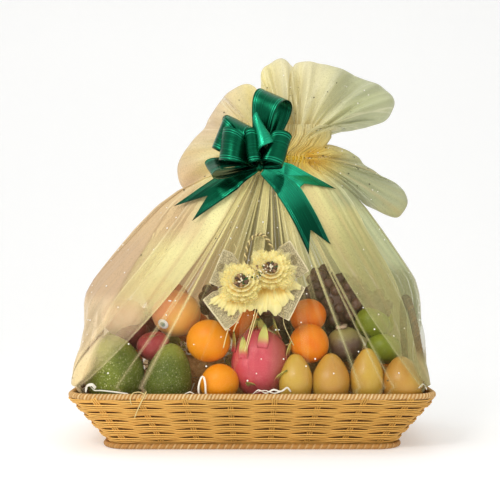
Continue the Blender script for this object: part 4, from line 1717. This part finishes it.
def make_corsage():
    """The corsage: stiff net leaves, two net flowers with seed heads, a twisted straw loop and fine trim."""
    s = bpy.context.scene.hamper_corsage
    rng = np.random.default_rng(41)
    middle, *ways = corsage_frame()
    right, up, out = ways
    straw, petals, hearts, leaf_net = straw_finish(s), petal_finish(s), heart_finish(s), net_leaf_finish(s)
    for i, leaf in enumerate(LEAVES, 1):
        make_leaf(f"stiff_leaf_{i}", f"net_leaf_{i}", *leaf, leaf_net)
    start = LEAF_OFF_WRAP - 0.0012
    pad = Pile()
    flat = circle(2 * np.pi * np.arange(48) / 48, right, up) * BACKING_RADIUS
    levels = ((0.03, 0.0002), (0.9, 0.0002), (1.0, 0.08), (1.0, 0.90), (0.88, 1.0), (0.03, 1.0))
    rings = [middle + flat * reach + out * (start + BACKING_DEPTH * rise) for reach, rise in levels]
    pad.add(rings_shape(rings), tone=0.6)
    pad.make("corsage_pad", straw, "straw", "corsage_backing")

    tilt = circle(FLOWER_TILT, right, up)
    for side, way, facing in (("left", -1, FLOWER_TILT), ("right", 1, FLOWER_TILT + math.pi)):
        hub = middle + tilt * way * FLOWER_SPACING / 2 + out * (start + BACKING_DEPTH + 0.0004)
        make_flower(side, hub, ways, facing, rng, petals)
        make_heart(side, hub + out * (FLOWER_DEPTH * 0.62), ways, rng, hearts)

    turn = np.radians(np.linspace(-20, 200, 160))
    (shift, lift), (half_width, half_height) = TWIST_MIDDLE, TWIST_HALF
    arch = circle(turn, right * half_width, up * half_height)
    away = unit(circle(turn, right / half_width, up / half_height))
    path = middle + right * shift + up * lift + arch + out * TWIST_OFF_WRAP
    loop = Pile()
    twisted(loop, path, away, np.tile(out, (160, 1)), 0.0030, 2, 13, 8, False, (1.2, 0.0), rng)
    loop.make("straw_loop", straw, "straw", "twist_loop")
    make_wires(straw)
    make_gauze(petals)
    make_buds(middle, ways, rng, hearts)
    make_strand(straw)


def tube(pile, route, radius, count, hint=(0.2, 0.1, 1.0), tone=0.5):
    """A round strand along a smooth route."""
    path = smooth_route(route, count)
    pile.add(sweep(path, *frames(path, hint), radius, radius, 6), tone=tone)


def make_wires(straw):
    """Wire curls beside the flowers, and the ends of straw that stand and hang from them."""
    pile = Pile()
    t = np.linspace(0, 1, 60)
    for x, z, size, turns, start in CURLS:
        a = start + turns * 2 * np.pi * t
        r = size * (1 - 0.72 * t)
        path = over_wrap(x + r * np.cos(a), z + 0.9 * r * np.sin(a), 0.0085 + 0.002 * np.sin(3 * a))
        pile.add(sweep(path, *frames(path, (0, -1, 0.3)), 0.00065, 0.00065, 6), tone=0.2)
    for away, radius, count, tone, *route in STRAW_ENDS:
        tube(pile, over_wrap(*np.transpose(route), away), radius, count, tone=tone)
    pile.make("corsage_wires", straw, "straw")


def make_gauze(petals):
    """Scraps of the petals' net that hang below the flowers."""
    pile = Pile()
    t, v = np.linspace(0, 1, 16)[:, None], np.linspace(-1, 1, 15)
    for x, z, heading, length, width in GAUZE:
        turn = math.radians(heading) + 0.30 * v
        ragged = 0.10 * np.sin(5 * v + heading) + 0.06 * np.sin(13 * v + 2 * heading)
        ragged = ragged + 0.04 * np.sin(29 * v)
        reach = length * t * (1 - 0.22 * v**2 + ragged * t)
        side = width * (0.7 + 0.3 * t) * v
        ripple = 0.0012 * np.sin(9 * v + heading + 3 * t) * t + 0.0007 * np.sin(31 * v + 2 * heading)
        grid = over_wrap(x + np.cos(turn) * reach + side * 0.6, z + np.sin(turn) * reach,
                         0.0075 + 0.002 * t + ripple)
        tone = np.linspace(-0.05, 1.0, 16)[:, None] + 0.12 * ragged
        pile.add((grid, grid_faces(16, 15)), tone=tone, around=np.tile(heading * 0.1 + 0.6 * v, 16))
    pile.make("corsage_gauze", petals, "net_flower")


def make_buds(middle, ways, rng, hearts):
    """Buds, seed cases and small leaves strewn between the two flowers."""
    right, up, out = ways
    pile = Pile()
    for _ in range(46):
        a = rng.uniform(0, 6.3)
        reach = rng.uniform(0.2, 1.0) * 0.011
        centre = middle + out * (0.032 + rng.uniform(-0.003, 0.005))
        centre = centre + (right * 0.85 + up * 0.42) * rng.uniform(-0.024, 0.024)
        d, quads, caps = ball(6, 8)
        size = np.array([0.0013, 0.0013, 0.0018]) * rng.uniform(0.7, 1.4)
        bud = d * size @ turned(rng.normal(size=3)).T
        pile.add((bud + centre + circle(a, right, up) * reach, quads, caps), tone=rng.random(),
                 kind=rng.choice([0.0, 0.5, 0.5, 0.5, 1.0]))
    pile.make("corsage_buds", hearts, "seed")


def make_strand(straw):
    """The strand of net that hangs over the rim at the front left, with its loop."""

    def wall_y(z):
        return -(BASE_WIDTH + (RIM_WIDTH + WALL_THICKNESS - BASE_WIDTH) * z / WALL_TOP) / 2 - 0.0045

    pile = Pile()
    rim = -(RIM_WIDTH / 2 + RIM_ROPE_RADIUS)
    over = [(-0.1690, rim + 0.004, 0.1000), (-0.1712, rim - 0.0016, 0.0945)]
    down = [(x, wall_y(z), z) for x, z in ((-0.1765, 0.084), (-0.1835, 0.070), (-0.1890, 0.057))]
    tube(pile, over + down, 0.0009, 34, (0, -1, 0.2), tone=0.9)
    loop = [(-0.1712, rim - 0.0018, 0.0965), (-0.180, rim - 0.0015, 0.1000),
            (-0.1905, rim - 0.0012, 0.0975), (-0.1935, wall_y(0.086) - 0.001, 0.088),
            (-0.1925, wall_y(0.080), 0.080)]
    tube(pile, loop, 0.0007, 34, (0, -1, 0.2), tone=0.8)
    pile.make("net_strand", straw, "straw")


def make_stage():
    """White sweep of floor and backdrop, soft lights, and the camera."""
    scene = bpy.context.scene
    s = scene.hamper_stage
    radius = 1.4
    bend = np.linspace(0, math.pi / 2, 13)[1:]
    curve = zip(1.6 + radius * np.sin(bend), radius * (1 - np.cos(bend)))
    profile = [(-5.0, 0.0), (1.6, 0.0), *curve, (3.0, 5.0)]
    mesh = bpy.data.meshes.new("backdrop")
    mesh.from_pydata([(x, y, z) for y, z in profile for x in np.linspace(-4, 4, 5)], [],
                     grid_faces(len(profile), 5)[:, ::-1].tolist())
    mesh.shade_smooth()
    f = Finish("white_sweep", Roughness=0.9, Specular_IOR_Level=0.1, Emission_Strength=s.glow)
    base = f.mix(s.floor, scaled(s.floor, 0.985), f.noise(f.place(), 3, 2))
    mesh.materials.append(f.done(Base_Color=base, Emission_Color=(1.0, 1.0, 1.0)))
    floor = added("backdrop", mesh)

    for name, place, power, size, height in (
        ("key_light", (-1.25, -1.55, 1.55), s.key, 1.1, 0.25),
        ("fill_light", (1.6, -1.3, 0.9), s.fill, 1.4, 0.25),
        ("top_light", (0.2, 0.2, 2.2), s.fill, 1.6, 0.2),
        ("glint_light", (-0.55, -1.30, 1.15), s.fill, 0.25, 0.50),
    ):
        data = bpy.data.lights.new(name, "AREA")
        data.energy, data.size = power, size
        lamp = added(name, data)
        lamp.location = place
        lamp.rotation_euler = (Vector((0, 0, height)) - Vector(place)).to_track_quat("-Z", "Y").to_euler()

    world = bpy.data.worlds.new("studio")
    sky = Graph(world)
    heading = sky.node("ShaderNodeTexCoord")
    facing = sky.node("ShaderNodeVectorMath", {"operation": "DOT_PRODUCT"},
                      {0: heading, 1: (-0.45, -0.35, 0.82)}, 1)
    seen = sky.node("ShaderNodeLightPath")
    background = sky.tree.nodes["Background"].inputs
    sky.fill(background["Color"], (1.0, 1.0, 1.0))
    sky.fill(background["Strength"], facing.rise(-0.9, 1.0, 0.22, 1.0) * s.sky * (1 - seen) + seen * 0.95)
    scene.world = world
    scene.view_settings.view_transform = "Standard"
    scene.cycles.transparent_max_bounces = 40

    data = bpy.data.cameras.new("camera")
    data.lens, data.sensor_width = s.lens, 36.0
    camera = added("camera", data)
    camera.location = (s.camera_x, -s.camera_back, s.camera_height)
    camera.rotation_euler = (math.pi / 2 + s.pitch, 0, 0)
    scene.camera = camera


class Maker:
    """What the operators share: undo, and the step that each one runs."""

    bl_options = {"REGISTER", "UNDO"}
    steps = ()

    def execute(self, context):
        for step in self.steps:
            step()
        return {"FINISHED"}


class HAMPER_OT_stage(Maker, Operator):
    """Add the floor, the lights and the camera"""

    bl_idname, bl_label = "hamper.stage", "Stage"
    steps = (make_stage,)


class HAMPER_OT_tray(Maker, Operator):
    """Weave the tray"""

    bl_idname, bl_label = "hamper.tray", "Woven tray"
    steps = (make_tray,)


class HAMPER_OT_ropes(Maker, Operator):
    """Twist the borders and wind the handles"""

    bl_idname, bl_label = "hamper.ropes", "Borders and handles"
    steps = (make_ropes,)


class HAMPER_OT_fruit(Maker, Operator):
    """Fill the tray with fruit"""

    bl_idname, bl_label = "hamper.fruit", "Fruit"
    steps = (make_citrus, make_orchard_fruit, make_mangoes, make_dragon_fruit, make_dark_fruit, make_sticker)


class HAMPER_OT_paper(Maker, Operator):
    """Lay the shredded paper under the fruit"""

    bl_idname, bl_label = "hamper.paper", "Shredded paper"
    steps = (make_paper,)


class HAMPER_OT_wrap(Maker, Operator):
    """Gather the net over the fruit"""

    bl_idname, bl_label = "hamper.wrap", "Net wrap"
    steps = (make_wrap,)


class HAMPER_OT_bow(Maker, Operator):
    """Tie the satin bow"""

    bl_idname, bl_label = "hamper.bow", "Bow"
    steps = (make_bow,)


class HAMPER_OT_corsage(Maker, Operator):
    """Pin the corsage to the net"""

    bl_idname, bl_label = "hamper.corsage", "Corsage"
    steps = (make_corsage,)


OPERATORS = (HAMPER_OT_stage, HAMPER_OT_tray, HAMPER_OT_ropes, HAMPER_OT_fruit, HAMPER_OT_paper,
             HAMPER_OT_wrap, HAMPER_OT_bow, HAMPER_OT_corsage)
SETTINGS = {"hamper_stage": HamperStage, "hamper_tray": HamperTray, "hamper_fruit": HamperFruit,
            "hamper_wrap": HamperWrap, "hamper_bow": HamperBow, "hamper_corsage": HamperCorsage}


class HAMPER_PT_panel(Panel):
    """Buttons that make the hamper's pieces, and their settings"""

    bl_label, bl_idname = "Fruit Gift Hamper", "HAMPER_PT_panel"
    bl_space_type, bl_region_type, bl_category = "VIEW_3D", "UI", "Hamper"

    def draw(self, context):
        for operator in OPERATORS:
            self.layout.operator(operator.bl_idname)
        for name, group in SETTINGS.items():
            box = self.layout.box()
            for setting in group.__annotations__:
                box.prop(getattr(context.scene, name), setting)


def register():
    for group in (*SETTINGS.values(), *OPERATORS, HAMPER_PT_panel):
        bpy.utils.register_class(group)
    for name, group in SETTINGS.items():
        setattr(bpy.types.Scene, name, PointerProperty(type=group))


def unregister():
    for name in SETTINGS:
        delattr(bpy.types.Scene, name)
    for group in (HAMPER_PT_panel, *reversed(OPERATORS), *SETTINGS.values()):
        bpy.utils.unregister_class(group)


def main():
    register()
    for operator in OPERATORS:
        group, step = operator.bl_idname.split(".")
        getattr(getattr(bpy.ops, group), step)()


if __name__ == "__main__":
    main()
